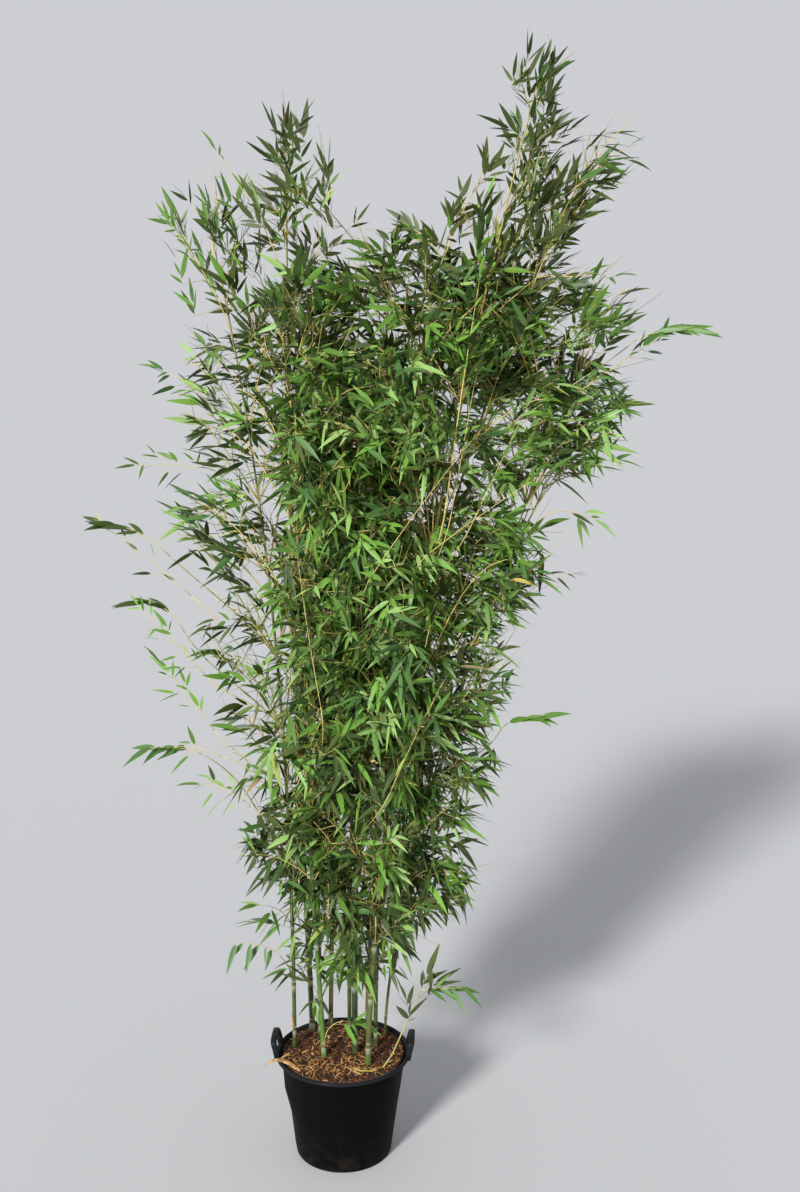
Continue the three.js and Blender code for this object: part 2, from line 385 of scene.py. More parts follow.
class Recipe:
    """A material being put together round its Principled shader."""

    def __init__(self, name: str) -> None:
        """Starts a material that holds only the shader and its output."""
        self.material = bpy.data.materials.new(name)
        self.material.use_nodes = True
        self.shader = self.material.node_tree.nodes["Principled BSDF"]

    def add(
        self,
        kind: str,
        output: str | int,
        settings: dict[str | int, object] | None = None,
        links: dict[str | int, bpy.types.NodeSocket] | None = None,
    ) -> bpy.types.NodeSocket:
        """Adds one shader node with its settings and incoming links.

        Args:
            kind: The node's type, without its common beginning.
            output: The output that is wanted.
            settings: Values for inputs, by name or number, or for the node's own properties.
            links: Output sockets to join to inputs, by the input's name or number.

        Returns:
            The wanted output.
        """
        node = self.material.node_tree.nodes.new("ShaderNode" + kind)
        for key, value in (settings or {}).items():
            if isinstance(key, int) or key in node.inputs:
                node.inputs[key].default_value = value
            else:
                setattr(node, key, value)
        for key, socket in (links or {}).items():
            self.material.node_tree.links.new(socket, node.inputs[key])
        return node.outputs[output]

    def place(self, output: str = "Object") -> bpy.types.NodeSocket:
        """Gives the place on the object, or on its UV map."""
        return self.add("TexCoord", output)

    def height(self, place: bpy.types.NodeSocket) -> bpy.types.NodeSocket:
        """Gives the height of a place."""
        return self.add("SeparateXYZ", "Z", links={"Vector": place})

    def noise(
        self, place: bpy.types.NodeSocket, scale: float, detail: float, **more: float
    ) -> bpy.types.NodeSocket:
        """Adds cloudy noise.

        Args:
            place: Where it is read.
            scale: Patches in a metre.
            detail: Octaves.
            more: The node's other inputs.

        Returns:
            Its value.
        """
        return self.add(
            "TexNoise", "Fac", {"Scale": scale, "Detail": detail, **more}, {"Vector": place}
        )

    def ramp(
        self, factor: bpy.types.NodeSocket, *stops: tuple[float, str]
    ) -> bpy.types.NodeSocket:
        """Turns a value to a colour.

        Args:
            factor: The value.
            stops: Places from 0 to 1 with sRGB hex colours.

        Returns:
            The colour.
        """
        colour = self.add("ValToRGB", "Color", links={"Fac": factor})
        elements = colour.node.color_ramp.elements
        elements[0].position, elements[0].color = stops[0][0], linear(stops[0][1])
        elements[1].position, elements[1].color = stops[-1][0], linear(stops[-1][1])
        for stop, shade in stops[1:-1]:
            elements.new(stop).color = linear(shade)
        return colour

    def spread(
        self,
        value: bpy.types.NodeSocket,
        source: tuple[float, float] = (0.0, 1.0),
        target: tuple[float, float] = (0.0, 1.0),
    ) -> bpy.types.NodeSocket:
        """Maps a value from one range to another, held at its ends.

        Args:
            value: The value.
            source: The range it has.
            target: The range it gets.

        Returns:
            The mapped value.
        """
        ends = {"From Min": source[0], "From Max": source[1]}
        ends.update({"To Min": target[0], "To Max": target[1]})
        return self.add("MapRange", "Result", ends, {"Value": value})

    def tint(
        self, share: bpy.types.NodeSocket, under: bpy.types.NodeSocket, colour: str
    ) -> bpy.types.NodeSocket:
        """Lays a colour over another.

        Args:
            share: How much of it shows.
            under: The colour below.
            colour: The colour on top, sRGB hex.

        Returns:
            The mixed colour.
        """
        return self.add(
            "Mix", 2, {"data_type": "RGBA", 7: linear(colour)}, {0: share, 6: under}
        )

    def maths(
        self,
        operation: str,
        first: bpy.types.NodeSocket,
        second: bpy.types.NodeSocket | float = 0.0,
    ) -> bpy.types.NodeSocket:
        """Reckons with one or two values.

        Args:
            operation: Blender's name for what is done.
            first: The first value.
            second: The second value, as a socket or a number.

        Returns:
            The result.
        """
        if isinstance(second, float):
            return self.add("Math", "Value", {"operation": operation, 1: second}, {0: first})
        return self.add("Math", "Value", {"operation": operation}, {0: first, 1: second})

    def finish(
        self,
        colour: bpy.types.NodeSocket | str,
        roughness: bpy.types.NodeSocket | float,
        bump: tuple[bpy.types.NodeSocket, float, float] | None = None,
        **more: float,
    ) -> bpy.types.Material:
        """Joins everything to the shader.

        Args:
            colour: Its colour, as a socket or sRGB hex.
            roughness: Its roughness, as a socket or a number.
            bump: The relief's height, strength and depth in metres.
            more: The shader's other inputs, which stay unlinked.

        Returns:
            The finished material.
        """
        links = self.material.node_tree.links
        inputs = self.shader.inputs
        if isinstance(colour, str):
            inputs["Base Color"].default_value = linear(colour)
        else:
            links.new(colour, inputs["Base Color"])
        if isinstance(roughness, float):
            inputs["Roughness"].default_value = roughness
        else:
            links.new(roughness, inputs["Roughness"])
        if bump:
            settings = {"Strength": bump[1], "Distance": bump[2]}
            links.new(self.add("Bump", "Normal", settings, {"Height": bump[0]}), inputs["Normal"])
        for key, value in more.items():
            inputs[key].default_value = value
        return self.material


@dataclass(frozen=True)
class PlainFinish:
    """One even colour, for small things that are dealt out by spray or by chip."""

    name: str
    colour: str
    roughness: float
    share: float = 1.0

    def build(self) -> bpy.types.Material:
        """Makes the material."""
        return Recipe(self.name).finish(self.colour, self.roughness, IOR=1.4)


# Bamboo leaf blades: thin and satin, with a waxy skin that gives soft streaks of light. The tones
# run from dark old green to fresh, then yellowing and dead ones. The first two, the darkest, are
# also dealt out in set shares to the top and foot of the crown as painted shade.
LEAF_TONES = (
    PlainFinish("leaf_old_green", "#37491e", 0.46, 0.17),
    PlainFinish("leaf_olive", "#444f24", 0.48, 0.05),
    PlainFinish("leaf_mid_green", "#4e6f29", 0.45, 0.27),
    PlainFinish("leaf_cool_green", "#476a33", 0.47, 0.16),
    PlainFinish("leaf_fresh_green", "#669038", 0.44, 0.21),
    PlainFinish("leaf_pale_underside", "#80a058", 0.58, 0.12),
    PlainFinish("leaf_yellow_green", "#94a04c", 0.46, 0.02),
    PlainFinish("leaf_yellowing", "#c2ad5c", 0.52, 0.005),
    PlainFinish("leaf_dead_straw", "#b39c70", 0.65, 0.005),
)
GREEN_TONES = 6
YELLOWING = 7

# Bamboo twigs: thin, smooth and hard, green in the shade and ripening to straw in the light.
TWIG_TONES = (
    PlainFinish("twig_green", "#7a8640", 0.45, 0.22),
    PlainFinish("twig_olive", "#9c954b", 0.45, 0.26),
    PlainFinish("twig_straw", "#c9b46a", 0.50, 0.42),
    PlainFinish("twig_brown", "#7f683f", 0.60, 0.10),
)
GREEN_TWIG, STRAW_TWIG = 0, 2

# Pine bark chips and fibre: matt and broken, from almost black when wet to orange where torn.
CHIP_TONES = (
    PlainFinish("bark_wet", "#1f120a", 0.85, 0.34),
    PlainFinish("bark_dark", "#382211", 0.90, 0.28),
    PlainFinish("bark_brown", "#512d18", 0.92, 0.21),
    PlainFinish("bark_torn", "#744220", 0.92, 0.11),
    PlainFinish("bark_fibre", "#9a6b38", 0.90, 0.06),
)

# The yellowed foot of the leaning shoot, where it runs over the mix: smooth and faintly glossy.
RUNNER = PlainFinish("shoot_base_yellow", "#a99c45", 0.42)

# Dry husks: papery, pale straw to tan, with a faint shine on their smooth inner side.
HUSK_TONES = (
    PlainFinish("husk_straw", "#b8925b", 0.6, 0.40),
    PlainFinish("husk_tan", "#9c6b3b", 0.6, 0.35),
    PlainFinish("husk_brown", "#6f4728", 0.7, 0.25),
)

# Expanded perlite: white, matt crumbs that catch the eye as specks.
PERLITE = PlainFinish("perlite_crumb", "#e6e2d8", 0.95)


@dataclass(frozen=True)
class CaneFinish:
    """A living bamboo cane: a hard, waxy skin with fine streaks along it, a pale bloom under each
    joint and a brown scar line at it. It looks ringed and softly glossy."""

    name: str
    young: str
    old: str
    bloom: str = "#9aa38a"
    scar: str = "#6f5a3a"
    ripe: str = "#a8974a"
    ripens: float = 0.45
    ripening: tuple[float, float] = (0.9, 2.3)
    streak_mm: float = 2.5

    def build(self) -> bpy.types.Material:
        """Makes the material, which reads each mesh's own "joint" attribute."""
        skin = Recipe(self.name)
        place = skin.place()
        along = skin.add("Mapping", "Vector", {"Scale": (1.0, 1.0, 0.06)}, {"Vector": place})
        streaks = skin.noise(along, 1 / (self.streak_mm * MM), 3.0, Roughness=0.6)
        patches = skin.maths("ADD", streaks, skin.noise(place, 14.0, 4.0))
        half = skin.spread(patches, (0.75, 1.25))
        colour = skin.ramp(half, (0.0, self.old), (0.55, self.young), (1.0, self.young))
        ripeness = skin.spread(skin.height(place), self.ripening, (0.0, self.ripens))
        colour = skin.tint(ripeness, colour, self.ripe)
        joint = skin.add("Attribute", "Fac", {"attribute_name": "joint"})
        bloom = skin.spread(joint, (-26 * MM, -4 * MM), (0.0, 0.7))
        bloom = skin.maths("MULTIPLY", bloom, skin.maths("LESS_THAN", joint, 0.0))
        colour = skin.tint(bloom, colour, self.bloom)
        scar = skin.spread(skin.maths("ABSOLUTE", joint), (2.2 * MM, 0.8 * MM), (0.0, 0.9))
        colour = skin.tint(scar, colour, self.scar)
        rough = skin.spread(half, target=(0.34, 0.6))
        return skin.finish(colour, rough, (streaks, 0.25, 0.3 * MM), IOR=1.46)


@dataclass(frozen=True)
class ContainerPlastic:
    """Black moulded polypropylene: satin, with a fine grain from the mould, dull scuffs and a
    little dried soil dust, so that its highlights are soft and broken. The top of the rim is
    glossier, and it is painted a lighter grey as a painted sheen."""

    name: str = "black_moulded_plastic"
    colour: str = "#070707"
    worn: str = "#0d0d0e"
    dust: str = "#2a241e"
    # Lighter grey for the top of the rim: a painted sheen.
    rim_painted_sheen: str = "#1e1f21"
    dust_top: float = 0.16
    rim_from: float = 0.343
    grain_mm: float = 1.5
    scuff_mm: float = 45.0

    def build(self) -> bpy.types.Material:
        """Makes the material."""
        plastic = Recipe(self.name)
        place = plastic.place()
        more = {"Roughness": 0.65, "Distortion": 0.6}
        scuffs = plastic.noise(place, 1 / (self.scuff_mm * MM), 8.0, **more)
        grain = plastic.noise(place, 1 / (self.grain_mm * MM), 2.0)
        colour = plastic.ramp(scuffs, (0.35, self.colour), (0.62, self.colour), (0.82, self.worn))
        height = plastic.height(place)
        low = plastic.spread(height, (self.dust_top, 0.0), (0.0, 0.55))
        dusty = plastic.maths("MULTIPLY", low, plastic.spread(scuffs, (0.42, 0.68)))
        # The top of the rim gets lower roughness and the lighter grey of a painted sheen.
        rim_gloss_and_painted_sheen = plastic.spread(height, (self.rim_from, self.rim_from + 4 * MM))
        colour = plastic.tint(rim_gloss_and_painted_sheen, colour, self.rim_painted_sheen)
        colour = plastic.tint(dusty, colour, self.dust)
        rough = plastic.spread(scuffs, (0.3, 0.75), (0.48, 0.7))
        rough = plastic.maths("SUBTRACT", rough, plastic.maths("MULTIPLY", rim_gloss_and_painted_sheen, 0.26))
        gloss = {"IOR": 1.42, "Specular IOR Level": 0.06}
        return plastic.finish(colour, rough, (grain, 0.3, 0.2 * MM), **gloss)


@dataclass(frozen=True)
class PottingBark:
    """Composted bark between the chips: matt, dark and crumbly, so that it drinks the light."""

    name: str = "composted_bark"
    dark: str = "#1b110a"
    middle: str = "#3a2616"
    light: str = "#6b4a2e"
    crumb_mm: float = 5.0

    def build(self) -> bpy.types.Material:
        """Makes the material."""
        bark = Recipe(self.name)
        place = bark.place()
        scale = {"Scale": 1 / (self.crumb_mm * MM)}
        crumbs = bark.add("TexVoronoi", "Color", scale, {"Vector": place})
        fibre = bark.noise(place, 260.0, 6.0, Roughness=0.7)
        shade = bark.add("Mix", 2, {"data_type": "RGBA", 0: 0.45}, {6: crumbs, 7: fibre})
        grey = bark.add("RGBToBW", "Val", links={"Color": shade})
        colour = bark.ramp(grey, (0.3, self.dark), (0.52, self.middle), (0.75, self.light))
        return bark.finish(colour, 0.95, (grey, 0.8, 2 * MM))


@dataclass(frozen=True)
class DrySheath:
    """A dry culm sheath: a papery, ribbed husk, straw to tan with brown flecks, its long fibres
    giving it fine lines and a dull sheen."""

    name: str = "dry_sheath"
    pale: str = "#b58c58"
    dark: str = "#573a1f"
    rib_mm: float = 1.6

    def build(self) -> bpy.types.Material:
        """Makes the material, whose ribs follow the piece's own UV map."""
        husk = Recipe(self.name)
        flecks = husk.noise(husk.place(), 60.0, 5.0, Roughness=0.7)
        waves = {"Scale": 0.05 / (self.rib_mm * MM), "Distortion": 1.5, "bands_direction": "X"}
        ribs = husk.add("TexWave", "Fac", waves, {"Vector": husk.place("UV")})
        colour = husk.ramp(flecks, (0.35, self.dark), (0.55, self.pale), (1.0, self.pale))
        return husk.finish(colour, 0.55, (ribs, 0.4, 0.4 * MM))


class Tones:
    """A family of plain finishes with the share that each has."""

    def __init__(self, family: Sequence[PlainFinish]) -> None:
        """Builds the materials of a family of finishes."""
        self.materials = [finish.build() for finish in family]
        shares = np.array([finish.share for finish in family])
        self.shares = shares / shares.sum()

    def deal(self, rng: np.random.Generator, count: int, dull: float = 0.0) -> np.ndarray:
        """Deals out material numbers.

        Args:
            rng: The random source.
            count: How many to deal.
            dull: The share that is taken from the family's first two finishes alone.

        Returns:
            A material number for each.
        """
        dealt = rng.choice(len(self.materials), size=count, p=self.shares)
        return np.where(rng.uniform(size=count) < dull, rng.integers(2, size=count), dealt)


# ------------------------------------------------------------------ container


@dataclass
class Container:
    """The round nursery container with a rolled rim and two upright handles, as one moulding."""

    node: str = "container"
    handles: tuple[str, ...] = ("handle_left", "handle_right")
    wall: float = 3 * MM
    lip: float = 6.5 * MM
    lip_steps: int = 7
    spin_steps: int = 120
    dent: float = 7 * MM
    strap_half: float = 5.6 * MM

    def profile(self) -> list[tuple[float, float]]:
        """Outline of the wall as radius and height, from the middle of the base and back."""
        points = node_points(self.node)
        reach = np.hypot(points[:, 0], points[:, 1])
        top = points[:, 2].max()
        rim = reach.max()
        foot = reach[points[:, 2] < 1e-4].max()
        under = points[(points[:, 2] < top - 8 * MM) & (points[:, 2] > 0.5 * top)]
        neck_height = under[:, 2].min()
        neck = np.hypot(under[:, 0], under[:, 1])[under[:, 2] < neck_height + 1e-4].max()
        slope = (neck - foot) / neck_height
        roll = self.lip
        outline = [(0.0, 0.0), (foot - 9 * MM, 0.0), (foot - 3 * MM, 1 * MM), (foot, 5 * MM)]
        bands = (0.10, 0.42, 0.72, 0.93)
        outline += [(foot + slope * neck_height * band, neck_height * band) for band in bands]
        outline += [(neck, neck_height), (neck + 2 * MM, neck_height + 4 * MM)]
        outline += [(rim - 5 * MM, neck_height + 5 * MM)]
        for step in range(self.lip_steps):
            turn = math.radians(-60 + 240 * step / (self.lip_steps - 1))
            across, up = roll * math.cos(turn), roll * math.sin(turn)
            outline.append((rim - roll + across, top - roll + up))
        inner = neck + 2 * MM - self.wall
        outline += [(inner, top - 13 * MM), (neck - self.wall, neck_height)]
        outline += [(foot + slope * 0.2 * neck_height - self.wall, 0.2 * neck_height)]
        outline += [(foot - self.wall, self.wall), (0.0, self.wall)]
        return outline

    def build(self, finish: bpy.types.Material) -> None:
        """Makes the container and its handles.

        Args:
            finish: The plastic's material.
        """
        bm = lathe(self.profile(), self.spin_steps)
        self._soften(bm)
        name = "container_shell"
        add_piece(name, mesh_from_bmesh(name, bm, finish), "container", self.node)
        for handle in self.handles:
            self._handle(handle, finish)

    def _soften(self, bm: bmesh.types.BMesh) -> None:
        """Bends the thin wall a little out of true, with a fold at the left under the rim."""
        dent_at = Vector((-0.18, -0.06, 0.165))
        bulge_at = Vector((-0.19, -0.06, 0.24))
        for vert in bm.verts:
            height = vert.co.z
            if height < 4 * MM:
                continue
            out = Vector((vert.co.x, vert.co.y, 0)).normalized()
            lobes = noise.noise(Vector((out.x * 1.3, out.y * 1.3, height * 5))) * 2.2 * MM
            near = math.exp(-(((vert.co - dent_at).length / 0.055) ** 2))
            beyond = math.exp(-(((vert.co - bulge_at).length / 0.05) ** 2))
            fade = min(1.0, height / 0.08) * min(1.0, max(0.0, 0.345 - height) / 0.03)
            vert.co += out * (lobes + self.dent * (beyond - near)) * fade

    def _handle(self, node: str, finish: bpy.types.Material) -> None:
        """Makes one handle: a rounded strap that rises from the rim, runs along it and returns.

        Args:
            node: The handle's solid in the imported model.
            finish: The plastic's material.
        """
        points = node_points(node)
        low, high = points[:, 2].min(), points[:, 2].max()
        out = unit(points.mean(0) * FLAT)
        along = np.cross(UP, out)
        half_run = np.abs(points @ along - points.mean(0) @ along).max() - self.strap_half
        foot_reach = points[points[:, 2] < low + 1e-4] @ out
        top_reach = points[points[:, 2] > high - 1e-4] @ out
        half_width = (foot_reach.max() - foot_reach.min()) / 2
        foot = foot_reach.mean()
        lean = top_reach.mean() - foot
        middle_run = points.mean(0) @ along
        corner = 15 * MM
        rise = high - low - self.strap_half
        route = [(-half_run, -9 * MM), (-half_run, 0.4 * rise), (-half_run, rise - corner)]
        for step in range(1, 6):
            turn = math.radians(18 * step)
            run = -half_run + corner * (1 - math.cos(turn))
            route.append((run, rise - corner + corner * math.sin(turn)))
        route.append((-0.3 * half_run, rise + 0.6 * MM))
        route += [(-run, height) for run, height in reversed(route)]
        spots = np.array(
            [
                out * (foot + lean * max(0.0, height) / rise) + along * (middle_run + run)
                + UP * (low + height)
                for run, height in route
            ]
        )
        headings = unit(np.gradient(spots, axis=0))
        rings = []
        for spot, heading in zip(spots, headings):
            side = unit(out - heading * (out @ heading))
            across = np.cross(heading, side) * self.strap_half
            rings.append(Ring(spot, side * half_width * 0.96, across))
        bm = sweep(rings, 16, lambda station, turn: rounded_square(turn))
        bmesh.ops.recalc_face_normals(bm, faces=bm.faces)
        name = node + "_strap"
        add_piece(name, mesh_from_bmesh(name, bm, finish), "container", node)


def rounded_square(turn: float, power: float = 5.0) -> float:
    """Reach of a square with round corners in one direction.

    Args:
        turn: The direction in radians.
        power: How square it is; 2 is a circle.

    Returns:
        The reach, 1 at the middle of each side.
    """
    return (abs(math.cos(turn)) ** power + abs(math.sin(turn)) ** power) ** (-1 / power)


# ------------------------------------------------------------------ potting mix


@dataclass
class PottingMix:
    """The bark mix in the container: a low mound with chips, fibre, dry husks and white specks."""

    node: str = "soil"
    mound: float = 10 * MM
    edge_rise: float = 7 * MM
    relief: float = 4.5 * MM
    rows: int = 44
    spin_steps: int = 132
    chips: int = 5200
    husks: int = 330
    specks: int = 48
    heaps: tuple[tuple[float, float], ...] = (
        (-0.065, -0.075),
        (-0.045, -0.115),
        (0.02, -0.06),
        (-0.13, -0.10),
        (0.10, -0.10),
    )

    def __post_init__(self) -> None:
        """Reads the mix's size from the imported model."""
        points = node_points(self.node)
        self.level = points[:, 2].max()
        self.bottom = points[:, 2].min()
        reach = np.hypot(points[:, 0], points[:, 1])
        self.radius = reach.max() - 0.5 * MM
        self.foot = 0.8 * reach[points[:, 2] < self.bottom + 1e-4].max()

    def height_at(self, x: float, y: float) -> float:
        """Height of the mix's surface.

        Args:
            x: Place to the right.
            y: Place to the back.

        Returns:
            The height there.
        """
        share = min(1.0, math.hypot(x, y) / self.radius)
        shape = self.mound * (1 - share**2) + self.edge_rise * share**4
        lumps = noise.noise(Vector((x * 22, y * 22, 0.3))) * self.relief
        crumbs = noise.noise(Vector((x * 90, y * 90, 1.7))) * 0.45 * self.relief
        return self.level + shape + lumps + crumbs

    def build(self, finish: bpy.types.Material) -> None:
        """Makes the mix's body and everything strewn on it.

        Args:
            finish: The composted bark's material.
        """
        outline = [(self.radius * k / self.rows, self.level) for k in range(self.rows + 1)]
        outline += [(self.radius - 12 * MM, self.level - 30 * MM)]
        outline += [(self.foot, self.bottom), (0.0, self.bottom)]
        bm = lathe(outline, self.spin_steps)
        for vert in bm.verts:
            if vert.co.z > self.level - 1e-4:
                vert.co.z = self.height_at(vert.co.x, vert.co.y)
        name = "potting_mix"
        add_piece(name, mesh_from_bmesh(name, bm, finish), "potting_mix", self.node)
        self._strew_chips()
        self._strew_husks()

    def _places(
        self, rng: np.random.Generator, count: int, lift: float, heaped: float
    ) -> np.ndarray:
        """Random places on the surface.

        Args:
            rng: The random source.
            count: How many.
            lift: How far above the surface they lie.
            heaped: The share that lies in the heaps at the feet of the front canes.

        Returns:
            The places, count by 3.
        """
        reach = (self.radius - 5 * MM) * np.sqrt(rng.uniform(0, 1, count))
        turn = rng.uniform(0, 2 * math.pi, count)
        spots = np.stack([reach * np.cos(turn), reach * np.sin(turn)], axis=1)
        heap = np.array(self.heaps)[rng.integers(len(self.heaps), size=count)]
        heap = heap + rng.normal(0, 0.028, (count, 2))
        heaps_inside = np.hypot(heap[:, 0], heap[:, 1]) < self.radius - 8 * MM
        chosen = (rng.uniform(size=count) < heaped) & heaps_inside
        spots = np.where(chosen[:, None], heap, spots)
        heights = [self.height_at(x, y) + lift for x, y in spots]
        return np.column_stack([spots, heights])

    def _strew(
        self,
        rng: np.random.Generator,
        template: tuple[np.ndarray, np.ndarray],
        sizes: np.ndarray,
        tilt: float,
        lift: float,
        heaped: float = 0.0,
    ) -> tuple[np.ndarray, np.ndarray]:
        """Scatters turned and tilted copies of a template over the surface.

        Args:
            rng: The random source.
            template: Corner positions and triangles.
            sizes: Length, width and thickness of each copy.
            tilt: How far copies lean from level, as a spread in radians.
            lift: How far their middles lie above the surface.
            heaped: The share that lies in heaps.

        Returns:
            Corner positions and triangles of all the copies.
        """
        count = len(sizes)
        points, triangles = template
        turn = rng.uniform(0, 2 * math.pi, count)
        lean = rng.normal(0, tilt, (count, 2))
        ahead = unit(np.column_stack([np.cos(turn), np.sin(turn), lean[:, 0]]))
        side = unit(np.column_stack([-np.sin(turn), np.cos(turn), lean[:, 1]]))
        above = np.cross(ahead, side)
        local = points[None] * sizes[:, None, :]
        places = self._places(rng, count, lift, heaped)
        spread = (
            places[:, None, :]
            + local[..., 0:1] * ahead[:, None, :]
            + local[..., 1:2] * side[:, None, :]
            + local[..., 2:3] * above[:, None, :]
        )
        return spread.reshape(-1, 3), repeated(triangles, len(points), count)

    def _strew_chips(self) -> None:
        """Strews bark chips and perlite crumbs."""
        rng = seeded(1)
        tones = Tones(CHIP_TONES)
        parts = []
        for shape in range(4):
            bm = bmesh.new()
            bmesh.ops.create_icosphere(bm, subdivisions=1, radius=0.5)
            jitter = seeded(2, shape)
            for vert in bm.verts:
                vert.co = vert.co * float(jitter.uniform(0.65, 1.25))
            template = template_arrays(bm)
            count = self.chips // 4
            length = rng.uniform(5, 17, count) * MM
            width = length * rng.uniform(0.3, 0.8, count)
            thick = length * rng.uniform(0.15, 0.4, count)
            sizes = np.column_stack([length, width, thick])
            points, triangles = self._strew(rng, template, sizes, 0.35, 0.8 * MM)
            dealt = np.repeat(tones.deal(rng, count), len(template[1]))
            parts.append((points, triangles, dealt))
        add_swarm("bark_chips", parts, tones.materials, "potting_mix")
        bm = bmesh.new()
        bmesh.ops.create_icosphere(bm, subdivisions=1, radius=0.5)
        template = template_arrays(bm)
        sizes = rng.uniform(1.8, 3.6, (self.specks, 1)) * MM
        sizes = sizes * rng.uniform(0.8, 1.2, (self.specks, 3))
        points, triangles = self._strew(rng, template, sizes, 0.3, 2.2 * MM)
        crumbs = (points, triangles, np.zeros(len(triangles)))
        add_swarm("perlite_crumbs", [crumbs], [PERLITE.build()], "potting_mix")

    def _strew_husks(self) -> None:
        """Strews curled, torn pieces of dry sheath."""
        rng = seeded(3)
        tones = Tones(HUSK_TONES)
        bm = bmesh.new()
        bmesh.ops.create_grid(bm, x_segments=6, y_segments=2, size=0.5)
        for vert in bm.verts:
            share = vert.co.x + 0.5
            vert.co.y *= 0.35 + 0.65 * math.sin(math.pi * (0.15 + 0.7 * share))
            vert.co.z = 0.5 * (2 * vert.co.y) ** 2 + 0.35 * (share - 0.4) ** 2
        bmesh.ops.solidify(bm, geom=bm.faces, thickness=0.06)
        bmesh.ops.recalc_face_normals(bm, faces=bm.faces)
        template = template_arrays(bm)
        length = rng.uniform(10, 42, self.husks) * MM
        width = rng.uniform(2.0, 6.5, self.husks) * MM
        sizes = np.column_stack([length, width, rng.uniform(3, 7, self.husks) * MM])
        points, triangles = self._strew(rng, template, sizes, 0.25, 2.5 * MM, 0.45)
        dealt = np.repeat(tones.deal(rng, self.husks), len(template[1]))
        husks = (points, triangles, dealt)
        add_swarm("straw_husks", [husks], tones.materials, "potting_mix")


# ------------------------------------------------------------------ culms


